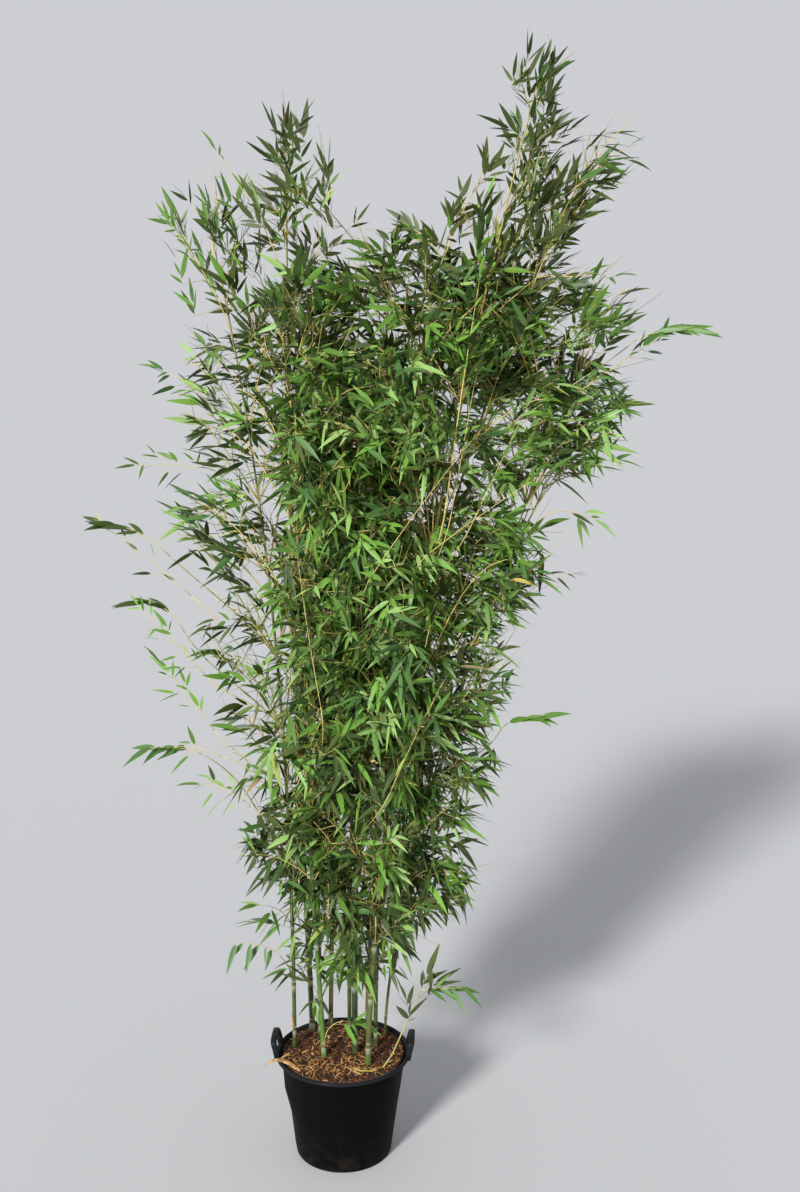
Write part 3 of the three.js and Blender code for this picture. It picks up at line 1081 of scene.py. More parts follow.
@dataclass
class Culm:
    """One cane, traced from its solid, with swollen joints and grooves above them."""

    node: str
    number: int
    sides: int = 16
    first_joint: float = 55 * MM
    shortest: float = 0.095
    longest: float = 0.235
    leafy_tip: float = 60 * MM
    slimness: float = 0.98

    def __post_init__(self) -> None:
        """Traces the middle line and places the joints."""
        points = node_points(self.node)
        points = points[np.argsort(points[:, 2])]
        breaks = np.nonzero(np.diff(points[:, 2]) > 1 * MM)[0] + 1
        levels = np.split(points, breaks)
        self.middles = np.array([level.mean(0) for level in levels])
        reaches = [level - middle for level, middle in zip(levels, self.middles)]
        self.radii = np.array([np.linalg.norm(reach, axis=1).mean() for reach in reaches])
        self.bottom = self.middles[0, 2]
        self.top = self.middles[-1, 2] - self.leafy_tip * min(1.0, self.middles[-1, 2] / 3)
        rng = seeded(10, self.number)
        height = self.bottom + self.first_joint * rng.uniform(0.7, 1.3)
        joints = []
        while height < self.top - 0.04:
            joints.append(height)
            share = (height - self.bottom) / (self.top - self.bottom)
            swell = math.sin(math.pi * min(1.0, 0.12 + 0.9 * share)) ** 0.7
            step = self.shortest + (self.longest - self.shortest) * swell
            height += step * rng.uniform(0.88, 1.12)
        self.joints = np.array(joints)

    def middle(self, height: float | np.ndarray) -> np.ndarray:
        """Middle of the cane.

        Args:
            height: One height or several.

        Returns:
            The place, or a row for each height.
        """
        levels = self.middles[:, 2]
        height = np.clip(height, self.bottom, self.top)
        index = np.clip(np.searchsorted(levels, height) - 1, 0, len(levels) - 2)
        span = levels[index + 1] - levels[index]
        share = (height - levels[index]) / span
        flat = []
        for axis in (0, 1):
            values = self.middles[:, axis]
            slopes = np.gradient(values, levels)
            flat.append(
                (1 + 2 * share) * (1 - share) ** 2 * values[index]
                + share * (1 - share) ** 2 * span * slopes[index]
                + share**2 * (3 - 2 * share) * values[index + 1]
                + share**2 * (share - 1) * span * slopes[index + 1]
            )
        return np.stack([flat[0], flat[1], height], axis=-1)

    def radius(self, height: float) -> float:
        """Radius of the cane between its joints at a height."""
        return float(np.interp(height, self.middles[:, 2], self.radii)) * self.slimness

    def joint_below(self, point: np.ndarray, drop: float, slope: float) -> np.ndarray:
        """Finds the joint that a side branch to a point leaves from.

        Args:
            point: Where the branch passes.
            drop: How far the joint lies below it at least.
            slope: How much further down it lies for each metre that the point is away.

        Returns:
            The joint's place.
        """
        run = np.linalg.norm((point - self.middle(float(point[2]))) * FLAT)
        wanted = point[2] - drop - slope * run
        return self.middle(float(self.joints[np.argmin(np.abs(self.joints - wanted))]))

    def build(self, finish: bpy.types.Material) -> None:
        """Makes the cane's mesh with its relief.

        Args:
            finish: The cane's material.
        """
        rng = seeded(11, self.number)
        stations: list[tuple[float, float, float]] = [(self.bottom, 0.0, -0.05)]
        sides_of_joint = rng.permutation([0, math.pi])
        stops = [self.bottom, *self.joints, self.top]
        for index, joint in enumerate(self.joints):
            gap = joint - stops[index]
            swell = 0.10 + 0.5 * MM / self.radius(joint)
            stations += [(joint - share * gap, 0.0, -share * gap) for share in (0.75, 0.5, 0.25)]
            stations += [
                (joint - 6 * MM, 0.02, -6 * MM),
                (joint - 1.6 * MM, 0.06, -1.6 * MM),
                (joint, swell * 0.98, 0.0),
                (joint + 1.4 * MM, 0.03, 1.4 * MM),
                (joint + 5 * MM, swell, 5 * MM),
                (joint + 10 * MM, 0.02, 10 * MM),
            ]
        stations.append((self.top, -0.3, 0.05))
        stations.sort()
        headings = rng.uniform(-0.6, 0.6, len(self.joints) + 1)
        rings, offsets, grooves = [], [], []
        for height, swell, offset in stations:
            segment = int(np.searchsorted(self.joints, height))
            lower = self.joints[segment - 1] if segment else self.bottom
            upper = self.joints[segment] if segment < len(self.joints) else self.top
            inside = (height - lower) / max(upper - lower, 1e-4)
            radius = self.radius(height) * (1 + swell)
            spot = self.middle(height)
            rings.append(Ring(spot, np.array([radius, 0, 0]), np.array([0, radius, 0])))
            offsets.append(offset)
            side = headings[segment] + sides_of_joint[segment % 2]
            grooves.append((side, 0.13 * math.sin(math.pi * min(1.0, inside)) * (segment > 2)))

        def grooved(station: int, turn: float) -> float:
            """Reach of the outline, less the groove above a branch bud."""
            side, depth = grooves[station]
            away = math.atan2(math.sin(turn - side), math.cos(turn - side))
            return 1 - depth * math.exp(-((away / 0.45) ** 2))

        bm = sweep(rings, self.sides, grooved)
        add_jointed(self.node + "_cane", bm, finish, offsets, "cane", self.node)


# Places on the mix from above, one after another.
Stops = tuple[tuple[float, float], ...]


@dataclass
class SheathRemains:
    """Dry sheaths that still clasp some of the lower joints, and those lying on the mix."""

    culms: Sequence[Culm]
    mix: PottingMix
    highest: float = 1.5
    share: float = 0.2
    on_rim: Stops = ((-0.120, -0.146), (-0.155, -0.112), (-0.178, -0.088), (-0.212, -0.066))
    off_rim: Stops = ((-0.236, -0.070), (-0.258, -0.084))
    rim_rises: tuple[float, ...] = (3.0, 18.0, 27.0, 27.0, 20.0, -2.0)
    upper_split: Stops = ((-0.004, -0.109), (0.034, -0.119), (0.060, -0.124), (0.086, -0.122))
    lower_split: Stops = ((0.020, -0.122), (0.040, -0.137), (0.055, -0.152), (0.070, -0.163))
    runner: Stops = ((0.126, -0.110), (0.109, -0.134), (0.075, -0.146), (0.036, -0.132))

    def build(self, finish: bpy.types.Material) -> None:
        """Makes the clasping sheaths as one piece and each fallen sheath as another.

        Args:
            finish: The dry sheath's material.
        """
        bm = bmesh.new()
        uv_layer = bm.loops.layers.uv.new("UVMap")
        rng = seeded(20)
        for culm in self.culms:
            for joint in culm.joints[culm.joints < self.highest]:
                if rng.uniform() < self.share:
                    self._clasp(bm, uv_layer, culm, joint, rng)
        name = "clasping_sheaths"
        add_piece(name, mesh_from_bmesh(name, bm, finish), "twig")
        self._fallen("curled_sheath_on_rim", finish, self._rim_route(), 19 * MM, 0.9)
        for name, material, width, curl, stops in (
            ("flat_sheath_on_mix", finish, 13 * MM, 0.35, self.upper_split),
            ("split_sheath_on_mix", finish, 9 * MM, 0.5, self.lower_split),
            ("shoot_base_on_mix", RUNNER.build(), 8 * MM, 1.2, self.runner),
        ):
            self._fallen(name, material, self._mix_route(stops), width, curl)

    def _clasp(
        self,
        bm: bmesh.types.BMesh,
        uv_layer: bmesh.types.BMLayerItem,
        culm: Culm,
        joint: float,
        rng: np.random.Generator,
    ) -> None:
        """Adds one sheath that wraps a cane from its joint up and comes loose at its tip.

        Args:
            bm: The bmesh that holds all of them.
            uv_layer: Its UV map.
            culm: The cane.
            joint: Height of the joint.
            rng: The random source.
        """
        tall = rng.uniform(0.05, 0.12)
        wrap = rng.uniform(1.6, 2.6)
        facing = rng.uniform(0, 2 * math.pi)
        loose = rng.uniform(2, 9) * MM
        grid = bmesh.ops.create_grid(bm, x_segments=8, y_segments=7, size=0.5)["verts"]
        spots = {vert: (vert.co.x + 0.5, vert.co.y) for vert in grid}
        for vert, (rise, around) in spots.items():
            narrow = (1 - rise**2.2) * 0.92 + 0.08
            turn = facing + around * wrap * narrow
            height = joint + 0.5 * MM + rise * tall
            reach = culm.radius(height) * 1.05 + 0.9 * MM + loose * rise**2.5
            middle = culm.middle(height)
            vert.co = Vector(
                (middle[0] + reach * math.cos(turn), middle[1] + reach * math.sin(turn), height)
            )
        faces = list(dict.fromkeys(face for vert in grid for face in vert.link_faces))
        for face in faces:
            for loop in face.loops:
                rise, around = spots[loop.vert]
                loop[uv_layer].uv = (around * 0.03, rise * tall)
        bmesh.ops.recalc_face_normals(bm, faces=faces)
        bmesh.ops.solidify(bm, geom=faces, thickness=0.4 * MM)

    def _rim_route(self) -> np.ndarray:
        """Route of the sheath that lies over the rim at the front left."""
        spots = [
            np.array([x, y, self.mix.level + rise * MM])
            for (x, y), rise in zip(self.on_rim + self.off_rim, self.rim_rises)
        ]
        return curved(spots[0], spots[1:], 16)

    def _mix_route(self, stops: Stops) -> np.ndarray:
        """Route over the mix of a sheath that lies on it.

        Args:
            stops: Places that it passes, from above.

        Returns:
            Points along its middle.
        """
        spots = [np.array([x, y, self.mix.height_at(x, y) + 5 * MM]) for x, y in stops]
        return curved(spots[0], spots[1:], 12)

    @staticmethod
    def _fallen(
        name: str, finish: bpy.types.Material, route: np.ndarray, width: float, curl: float
    ) -> None:
        """Makes one fallen sheath: a tapering strip that is curled across.

        Args:
            name: The piece's name.
            finish: Its material.
            route: Points along its middle.
            width: Its full width at the wide end.
            curl: How far it is curled, in radians each way.
        """
        bm = bmesh.new()
        uv_layer = bm.loops.layers.uv.new("UVMap")
        last = len(route) - 1
        grid = bmesh.ops.create_grid(bm, x_segments=last, y_segments=6, size=0.5)["verts"]
        headings = unit(np.gradient(route, axis=0))
        length = np.linalg.norm(np.diff(route, axis=0), axis=1).sum()
        spots = {vert: (vert.co.x + 0.5, vert.co.y) for vert in grid}
        for vert, (share, across) in spots.items():
            index = int(round(share * last))
            side = unit(np.cross(headings[index], UP))
            above = np.cross(side, headings[index])
            rounded = math.sin(math.pi * min(0.5, 0.22 + 0.6 * share))
            half = width * (rounded * (1 - share**3) + 0.03)
            turn = 2 * across * curl * (1 + 0.8 * share)
            bend = math.sin(turn) / curl
            drop = (1 - math.cos(turn)) / curl
            vert.co = Vector(route[index] + side * half / 2 * bend - above * half / 2 * drop)
        for face in bm.faces:
            for loop in face.loops:
                share, across = spots[loop.vert]
                loop[uv_layer].uv = (across * width, share * length)
        bmesh.ops.recalc_face_normals(bm, faces=bm.faces)
        bmesh.ops.solidify(bm, geom=bm.faces, thickness=0.5 * MM)
        add_piece(name, mesh_from_bmesh(name, bm, finish), "twig")


# ------------------------------------------------------------------ crown


@dataclass(frozen=True)
class Habit:
    """How the sprays of a mass hold themselves."""

    out: float
    lift: float
    sag: float
    spread: float


class Pose(Enum):
    """The ways in which sprays are held in different parts of the crown."""

    ASCENDING = Habit(out=0.60, lift=1.0, sag=0.06, spread=0.32)
    SPREADING = Habit(out=0.95, lift=0.35, sag=0.12, spread=0.45)
    LEVEL = Habit(out=0.85, lift=-0.10, sag=0.20, spread=0.64)
    DROOPING = Habit(out=0.62, lift=-0.42, sag=0.22, spread=0.76)


class Part(Enum):
    """The parts of the crown that are joined into pieces of their own."""

    LEFT_TOP = "left_top"
    LEFT_LOW = "left_low"
    MIDDLE_TOP = "middle_top"
    MIDDLE_LOW = "middle_low"
    RIGHT_TOP = "right_top"
    RIGHT_LOW = "right_low"


@dataclass(frozen=True)
class Envelope:
    """What one mass is filled with: its part, its pose, its sprays in a litre, how far beyond its
    solid they may stand, and the share of its leaves that take the two darkest tones alone, which
    paints shade on the masses at the top and foot of the crown."""

    node: str
    part: Part
    pose: Pose
    sprays: float
    reach: float = 0.0
    old: float = 0.0


# The last number of each mass is its share of the darkest leaf tones: painted shade for the top
# masses and the low masses round the foot.
ENVELOPES = (
    Envelope("left_peak", Part.LEFT_TOP, Pose.ASCENDING, 3.8, old=0.5),
    Envelope("left_brow", Part.LEFT_TOP, Pose.ASCENDING, 3.0, old=0.5),
    Envelope("left_crest", Part.LEFT_TOP, Pose.SPREADING, 10.9, old=0.45),
    Envelope("left_shoulder", Part.LEFT_TOP, Pose.SPREADING, 3.9, old=0.3),
    Envelope("left_arm", Part.LEFT_LOW, Pose.SPREADING, 5.3),
    Envelope("left_flank", Part.LEFT_LOW, Pose.LEVEL, 3.2),
    Envelope("left_waist", Part.LEFT_LOW, Pose.LEVEL, 2.9),
    Envelope("left_skirt", Part.LEFT_LOW, Pose.DROOPING, 10.2, 0.02, 0.4),
    Envelope("middle_crest", Part.MIDDLE_TOP, Pose.SPREADING, 8.9, old=0.35),
    Envelope("middle_heart_front", Part.MIDDLE_TOP, Pose.LEVEL, 13.4, 0.05),
    Envelope("middle_heart_back", Part.MIDDLE_TOP, Pose.SPREADING, 11.0, 0.05),
    Envelope("middle_body_front", Part.MIDDLE_TOP, Pose.DROOPING, 11.0, 0.05),
    Envelope("middle_body_back", Part.MIDDLE_TOP, Pose.LEVEL, 9.8, 0.05),
    Envelope("middle_waist_front", Part.MIDDLE_LOW, Pose.DROOPING, 11.0, 0.05, 0.3),
    Envelope("middle_waist_back", Part.MIDDLE_LOW, Pose.DROOPING, 9.8, 0.05, 0.3),
    Envelope("middle_skirt", Part.MIDDLE_LOW, Pose.DROOPING, 9.5, 0.05, 0.4),
    Envelope("middle_foot", Part.MIDDLE_LOW, Pose.DROOPING, 8.0, 0.02, 0.45),
    Envelope("right_peak", Part.RIGHT_TOP, Pose.ASCENDING, 6.4, old=1.0),
    Envelope("right_brow", Part.RIGHT_TOP, Pose.ASCENDING, 6.6, old=0.9),
    Envelope("right_wing", Part.RIGHT_TOP, Pose.SPREADING, 7.0, old=0.7),
    Envelope("right_crest", Part.RIGHT_TOP, Pose.SPREADING, 16.9, 0.03, 0.3),
    Envelope("right_shoulder", Part.RIGHT_TOP, Pose.SPREADING, 7.3, old=0.5),
    Envelope("right_arm", Part.RIGHT_TOP, Pose.LEVEL, 11.8, 0.02),
    Envelope("right_elbow", Part.RIGHT_TOP, Pose.LEVEL, 4.6),
    Envelope("right_flank", Part.RIGHT_LOW, Pose.LEVEL, 10.8, 0.04),
    Envelope("right_waist", Part.RIGHT_LOW, Pose.LEVEL, 8.8, 0.02),
    Envelope("right_hip", Part.RIGHT_LOW, Pose.DROOPING, 8.6, 0.02, 0.2),
    Envelope("right_skirt", Part.RIGHT_LOW, Pose.DROOPING, 9.4, 0.02, 0.4),
)


@dataclass(frozen=True)
class Arm:
    """A long thin side branch that stands clear of the crown, with small sprays along it."""

    culm: str
    part: Part
    knee: tuple[float, float, float]
    end: tuple[float, float, float]
    sprays: int
    bare: float
    droop: float = 0.0
    yellowed: bool = False
    stout: float = 1.0


ARMS = (
    Arm("culm_left_outer", Part.LEFT_LOW, (-0.47, 0.0, 1.90), (-0.74, 0.02, 2.12), 7, 0.15),
    Arm("culm_left_outer", Part.LEFT_LOW, (-0.42, -0.05, 1.65), (-0.60, -0.06, 1.85), 10, 0.05,
        yellowed=True),
    Arm("culm_left_outer", Part.LEFT_LOW, (-0.41, 0.03, 1.45), (-0.56, 0.04, 1.65), 7, 0.2),
    Arm("culm_left_outer", Part.LEFT_LOW, (-0.38, -0.02, 1.38), (-0.52, -0.02, 1.43), 4, 0.35,
        droop=0.4),
    Arm("culm_left_outer", Part.LEFT_LOW, (-0.29, -0.04, 1.22), (-0.42, -0.05, 1.31), 8, 0.1, 0.4),
    Arm("culm_left_outer", Part.LEFT_LOW, (-0.42, 0.05, 2.30), (-0.60, 0.05, 2.31), 7, 0.10),
    Arm("culm_left_outer", Part.LEFT_TOP, (-0.40, 0.0, 2.50), (-0.51, 0.0, 2.59), 6, 0.15),
    Arm("culm_left_outer", Part.LEFT_TOP, (-0.38, -0.03, 2.85), (-0.47, -0.04, 3.00), 4, 0.15,
        yellowed=True),
    Arm("culm_left_peak", Part.LEFT_TOP, (-0.26, -0.02, 3.10), (-0.34, -0.02, 3.22), 4, 0.20),
    Arm("culm_left_peak", Part.LEFT_TOP, (-0.05, 0.02, 2.92), (0.03, 0.03, 3.02), 4, 0.20),
    Arm("culm_right_inner", Part.RIGHT_TOP, (0.86, 0.0, 2.62), (1.00, 0.0, 2.705), 8, 0.10),
    Arm("culm_right_thin", Part.RIGHT_TOP, (0.70, 0.02, 2.30), (0.83, 0.02, 2.325), 4, 0.35),
    Arm("culm_right_thin", Part.RIGHT_LOW, (0.68, -0.02, 2.17), (0.77, -0.02, 2.165), 4, 0.2, 0.3),
    Arm("culm_right_thin", Part.RIGHT_LOW, (0.62, 0.0, 1.955), (0.70, 0.0, 1.975), 3, 0.25, 0.2),
    Arm("culm_right_peak", Part.RIGHT_TOP, (0.74, -0.05, 3.16), (0.84, -0.06, 3.24), 5, 0.10),
    Arm("culm_right_peak", Part.RIGHT_TOP, (0.33, -0.23, 2.24), (0.418, -0.17, 2.84), 4, 0.55,
        stout=1.8),
    Arm("culm_right_peak", Part.RIGHT_TOP, (0.34, -0.30, 2.20), (0.40, -0.29, 2.55), 9, 0.05),
    Arm("culm_right_inner", Part.RIGHT_TOP, (0.40, -0.27, 2.16), (0.54, -0.25, 2.46), 8, 0.05),
    Arm("culm_right_peak", Part.MIDDLE_TOP, (0.30, -0.31, 2.10), (0.60, -0.31, 2.31), 6, 0.25),
    Arm("culm_middle_dark", Part.MIDDLE_TOP, (0.13, -0.32, 2.05), (0.39, -0.30, 2.40), 6, 0.30),
    Arm("culm_front_bright", Part.MIDDLE_LOW, (-0.045, -0.31, 1.62), (-0.106, -0.31, 2.05), 6,
        bare=0.3),
    Arm("culm_middle", Part.MIDDLE_LOW, (0.16, -0.30, 1.35), (0.30, -0.31, 1.66), 6, 0.25),
    Arm("culm_front_bright", Part.MIDDLE_LOW, (-0.035, -0.06, 0.47), (0.01, -0.06, 0.50), 3, 0.1,
        droop=0.9),
)


@dataclass(frozen=True)
class Outlier:
    """A thin side bough that carries leaves along its end, outside the main crown."""

    stem: str
    culm: str
    part: Part
    lift: float
    leaves: int
    sag: float
    has_bough: bool = True

    @property
    def spray(self) -> str:
        """The name of the spray's solid."""
        return self.stem + "_spray"

    @property
    def bough(self) -> str:
        """The name of the bough's solid."""
        return "bough_" + self.stem


OUTLIERS = (
    Outlier("far_left_upper", "culm_left_outer", Part.LEFT_LOW, 0.1, 9, 0.2),
    Outlier("far_left_lower", "culm_left_outer", Part.LEFT_LOW, 0.2, 7, 0.2),
    Outlier("left_low", "culm_left_outer", Part.LEFT_LOW, -0.2, 8, 0.2),
    Outlier("far_right", "culm_right_inner", Part.RIGHT_TOP, 0.1, 10, 0.12),
    Outlier("right_low", "culm_right_thin", Part.RIGHT_LOW, 0.0, 8, 0.2),
    Outlier("foot_left", "culm_left_outer", Part.LEFT_LOW, -1.0, 6, 0.05),
    Outlier("foot_right", "leaning_shoot", Part.RIGHT_LOW, -0.35, 7, 0.12, has_bough=False),
)


@dataclass
class Leaves:
    """Leaf blades gathered as rows, to be made into one mesh."""

    rows: list[np.ndarray] = field(default_factory=list)

    def add(
        self,
        root: np.ndarray,
        ahead: np.ndarray,
        face: np.ndarray,
        length: float,
        sag: float,
        tone: int,
    ) -> None:
        """Adds one blade.

        Args:
            root: Where it leaves the twig.
            ahead: The way it points.
            face: The way its upper side looks.
            length: From root to tip.
            sag: How far its tip hangs below a straight line, as a share of its length.
            tone: Its material number.
        """
        self.rows.append(np.array([*root, *ahead, *face, length, sag, tone]))


@dataclass
class Twigs:
    """Twigs gathered as tapering lines of equal point counts."""

    lines: list[np.ndarray] = field(default_factory=list)
    radii: list[tuple[float, float]] = field(default_factory=list)
    tones: list[int] = field(default_factory=list)

    def add(self, line: np.ndarray, root: float, tip: float, tone: int) -> None:
        """Adds one twig.

        Args:
            line: Its points.
            root: Radius at its root.
            tip: Radius at its tip.
            tone: Its material number.
        """
        self.lines.append(line)
        self.radii.append((root, tip))
        self.tones.append(tone)

    def arrays(self, sides: int) -> Swarm:
        """Makes closed tubes of all the twigs.

        Args:
            sides: Corners of a tube's cross-section.

        Returns:
            Corner positions, triangles and material numbers.
        """
        lines = np.array(self.lines)
        count, steps = lines.shape[:2]
        ahead = unit(np.gradient(lines, axis=1))
        across = unit(np.cross(ahead, np.array([0.31, 0.17, 0.93])))
        above = np.cross(ahead, across)
        share = np.linspace(0, 1, steps)
        ends = np.array(self.radii)
        radius = ends[:, :1] + (ends[:, 1:] - ends[:, :1]) * share
        turn = 2 * math.pi * np.arange(sides) / sides
        ring = np.cos(turn)[:, None] * across[:, :, None]
        ring = ring + np.sin(turn)[:, None] * above[:, :, None]
        points = lines[:, :, None] + radius[:, :, None, None] * ring
        faces = []
        for step in range(steps - 1):
            for side in range(sides):
                here, beside = step * sides + side, step * sides + (side + 1) % sides
                faces += [(here, beside, beside + sides), (here, beside + sides, here + sides)]
        last = (steps - 1) * sides
        for side in range(1, sides - 1):
            faces += [(0, side + 1, side), (last, last + side, last + side + 1)]
        triangles = repeated(np.array(faces), steps * sides, count)
        return points.reshape(-1, 3), triangles, np.repeat(self.tones, len(faces))


@dataclass
class Blade:
    """The outline of one bamboo leaf: a short foot, widest near a third, and a long fine tip."""

    stations: tuple[float, ...] = (0.0, 0.09, 0.24, 0.42, 0.63, 0.83, 1.0)
    half_widths: tuple[float, ...] = (0.0, 0.60, 0.98, 1.0, 0.76, 0.38, 0.0)
    slenderness: float = 0.172
    fold: float = 0.16

    def template(self) -> tuple[np.ndarray, np.ndarray]:
        """Corners as share along, half-widths across and height of the fold, with triangles."""
        bm = bmesh.new()
        segments = len(self.stations) - 1
        bmesh.ops.create_grid(bm, x_segments=segments, y_segments=2, size=0.5)
        for vert in bm.verts:
            index = int(round((vert.co.x + 0.5) * segments))
            across = 2 * vert.co.y * self.half_widths[index]
            vert.co = Vector((self.stations[index], across, self.fold * abs(across)))
        bmesh.ops.remove_doubles(bm, verts=bm.verts, dist=1e-5)
        return template_arrays(bm)

    def arrays(self, rows: np.ndarray) -> Swarm:
        """Makes all the blades.

        Args:
            rows: Root, heading, facing, length, sag and tone of each.

        Returns:
            Corner positions, triangles and material numbers.
        """
        points, triangles = self.template()
        root, ahead, face = rows[:, 0:3], rows[:, 3:6], rows[:, 6:9]
        length, sag, tone = rows[:, 9], rows[:, 10], rows[:, 11]
        ahead = unit(ahead)
        face = unit(face - ahead * np.sum(face * ahead, axis=1, keepdims=True))
        side = np.cross(ahead, face)
        half = length * self.slenderness / 2
        share, across, fold = points[:, 0], points[:, 1], points[:, 2]
        spots = (
            root[:, None]
            + length[:, None, None] * share[None, :, None] * ahead[:, None]
            + half[:, None, None] * across[None, :, None] * side[:, None]
            + half[:, None, None] * fold[None, :, None] * face[:, None]
            - (length * sag)[:, None, None] * (share**2)[None, :, None] * UP
        )
        faces = repeated(triangles, len(points), len(rows))
        return spots.reshape(-1, 3), faces, np.repeat(tone, len(triangles))


class Mass:
    """The envelope of one mass of leaves, read from its solid."""

    lump_scale = 9.0

    def __init__(self, node: str) -> None:
        """Builds a search tree of the solid's faces.

        Args:
            node: The solid's name.
        """
        mesh = bpy.data.objects[node].data
        verts = [vert.co.copy() for vert in mesh.vertices]
        faces = [tuple(face.vertices) for face in mesh.polygons]
        self.tree = BVHTree.FromPolygons(verts, faces)
        self.low, self.high = (np.array(corner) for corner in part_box(node))

    def depth(self, point: np.ndarray) -> float:
        """How deep a point lies inside the solid; negative outside."""
        spot, normal, _, distance = self.tree.find_nearest(Vector(point))
        return -distance if (Vector(point) - spot).dot(normal) > 0 else distance

    def scatter(
        self, rng: np.random.Generator, per_litre: float, margin: float, clumping: float
    ) -> np.ndarray:
        """Strews points through the solid that keep apart from each other.

        Args:
            rng: The random source.
            per_litre: How many points a litre holds.
            margin: Least depth of a point.
            clumping: How strongly points are drawn together, from 0 to 1.

        Returns:
            The points.
        """
        low, high = self.low + min(0.0, margin), self.high - min(0.0, margin)
        wanted = int(float(np.prod(high - low)) * 1000 * per_litre)
        tries = rng.uniform(low, high, (3 * wanted, 3))
        lumps = np.array([noise.noise(Vector(point * self.lump_scale)) for point in tries])
        welcome = rng.uniform(0, 1, len(tries)) < 1 - clumping * (0.5 - 1.3 * lumps)
        inside = [point for point in tries[welcome] if self.depth(point) > margin]
        spacing = 0.045 / per_litre ** (1 / 3)
        kept: list[np.ndarray] = []
        for point in inside:
            if len(kept) >= len(inside) / 3:
                break
            if kept and np.min(np.linalg.norm(np.array(kept) - point, axis=1)) < spacing:
                continue
            kept.append(point)
        return np.array(kept)


@dataclass
class Crown:
    """Branches, twigs and leaves, grown on from the culms into the masses."""

    culms: Sequence[Culm]
    limits: tuple[np.ndarray, np.ndarray]
    spray_setback: float = 0.045
    clumping: float = 0.62
    sprays_on_branch: float = 7.0
    lowest_branch: float = 0.62
    margin: float = 12 * MM
    fresh_tone_chance: float = 0.45
    bare_chance: float = 0.55
    like_chance: float = 0.85
    leaf_length: float = 0.084
    leaf_spread: float = 0.019

    def __post_init__(self) -> None:
        """Gathers the joints that branches can leave from."""
        self.sites = np.array(
            [
                (*culm.middle(height), number, height)
                for number, culm in enumerate(self.culms)
                for height in culm.joints
                if height > self.lowest_branch
            ]
        )
        self.used = np.zeros(len(self.sites))
        self.leaf_tones = Tones(LEAF_TONES)
        self.twig_tones = Tones(TWIG_TONES)
        self.leaves = {part: Leaves() for part in Part}
        self.branches = {part: Twigs() for part in Part}
        self.twigs = {part: Twigs() for part in Part}
        self.by_node = {culm.node: culm for culm in self.culms}

    def axis(self, height: float) -> np.ndarray:
        """Middle of the clump at a height, from the canes that reach it."""
        living = [culm for culm in self.culms if culm.top > height] or list(self.culms)
        return np.mean([culm.middle(height) for culm in living], axis=0)

    def build(self) -> None:
        """Grows everything and makes the pieces."""
        for number, envelope in enumerate(ENVELOPES):
            self._fill(envelope, seeded(30, number))
        for number, culm in enumerate(self.culms):
            self._crown_tip(culm, seeded(31, number))
            self._low_twigs(culm, seeded(33, number))
        for number, outlier in enumerate(OUTLIERS):
            self._outlier(outlier, seeded(32, number))
        for number, arm in enumerate(ARMS):
            self._arm(arm, seeded(34, number))
        for part in Part:
            self._make_pieces(part)

    def _leaf_tone(self, rng: np.random.Generator, old: float = 0.0) -> int:
        """Deals one live leaf tone, from the two darkest ones alone in a given share of cases, as
        painted shade.
        """
        return min(int(self.leaf_tones.deal(rng, 1, old)[0]), GREEN_TONES - 1)

    def _branch_site(self, target: np.ndarray) -> int:
        """Chooses the joint that a branch to a target leaves from.

        Args:
            target: Where the branch is to end.

        Returns:
            The joint's row in the sites.
        """
        gap = target - self.sites[:, :3]
        run = np.hypot(gap[:, 0], gap[:, 1])
        wish = 0.10 + 0.95 * run
        cost = np.linalg.norm(gap, axis=1) + 1.3 * np.abs(gap[:, 2] - wish) + 0.05 * self.used
        return int(np.argmin(cost))

    def _fill(self, envelope: Envelope, rng: np.random.Generator) -> None:
        """Fills one mass with branches and sprays.

        Args:
            envelope: What it is filled with.
            rng: Its random source.
        """
        tips = Mass(envelope.node).scatter(rng, envelope.sprays, -envelope.reach, self.clumping)
        tips = tips[np.all((tips > self.limits[0]) & (tips < self.limits[1]), axis=1)]
        groups = max(2, round(len(tips) / self.sprays_on_branch))
        centres = tips[rng.choice(len(tips), groups, replace=False)]
        for _ in range(6):
            owner = np.argmin(np.linalg.norm(tips[:, None] - centres[None], axis=2), axis=1)
            centres = np.array(
                [
                    tips[owner == k].mean(0) if np.any(owner == k) else centres[k]
                    for k in range(groups)
                ]
            )
        for k in range(groups):
            members = tips[owner == k]
            if len(members):
                self._branch(envelope, centres[k], members, rng)

    def _branch(
        self, envelope: Envelope, centre: np.ndarray, tips: np.ndarray, rng: np.random.Generator
    ) -> None:
        """Grows one branch from a joint, and a twig with a spray to each of its tips.

        Args:
            envelope: The mass it grows in.
            centre: The middle of its tips.
            tips: Where its sprays stand.
            rng: The random source.
        """
        habit = envelope.pose.value
        site = self._branch_site(centre)
        self.used[site] += 1
        culm = self.culms[int(self.sites[site, 3])]
        root = self.sites[site, :3]
        gap = centre - root
        reach = np.linalg.norm(gap)
        out = unit(gap * FLAT + 1e-6)
        end = centre + (out * habit.out + UP * (0.5 + 0.5 * habit.lift)) * rng.uniform(0.02, 0.07)
        end = self._kept_in(end)
        bends = [
            root + out * 0.22 * reach + UP * 0.34 * reach + rng.normal(0, 0.012, 3),
            end - unit(out * habit.out + UP * (habit.lift * 0.5 + 0.15)) * 0.3 * reach
            + rng.normal(0, 0.012, 3),
            end,
        ]
        line = curved(root, bends, 9)
        thick = min(3.2 * MM, 1.6 * MM + 2.6 * MM * reach)
        tone = int(self.twig_tones.deal(rng, 1)[0])
        self.branches[envelope.part].add(line, thick, 1.0 * MM, tone)
        self._bare_twigs(envelope.part, line, tone, rng)
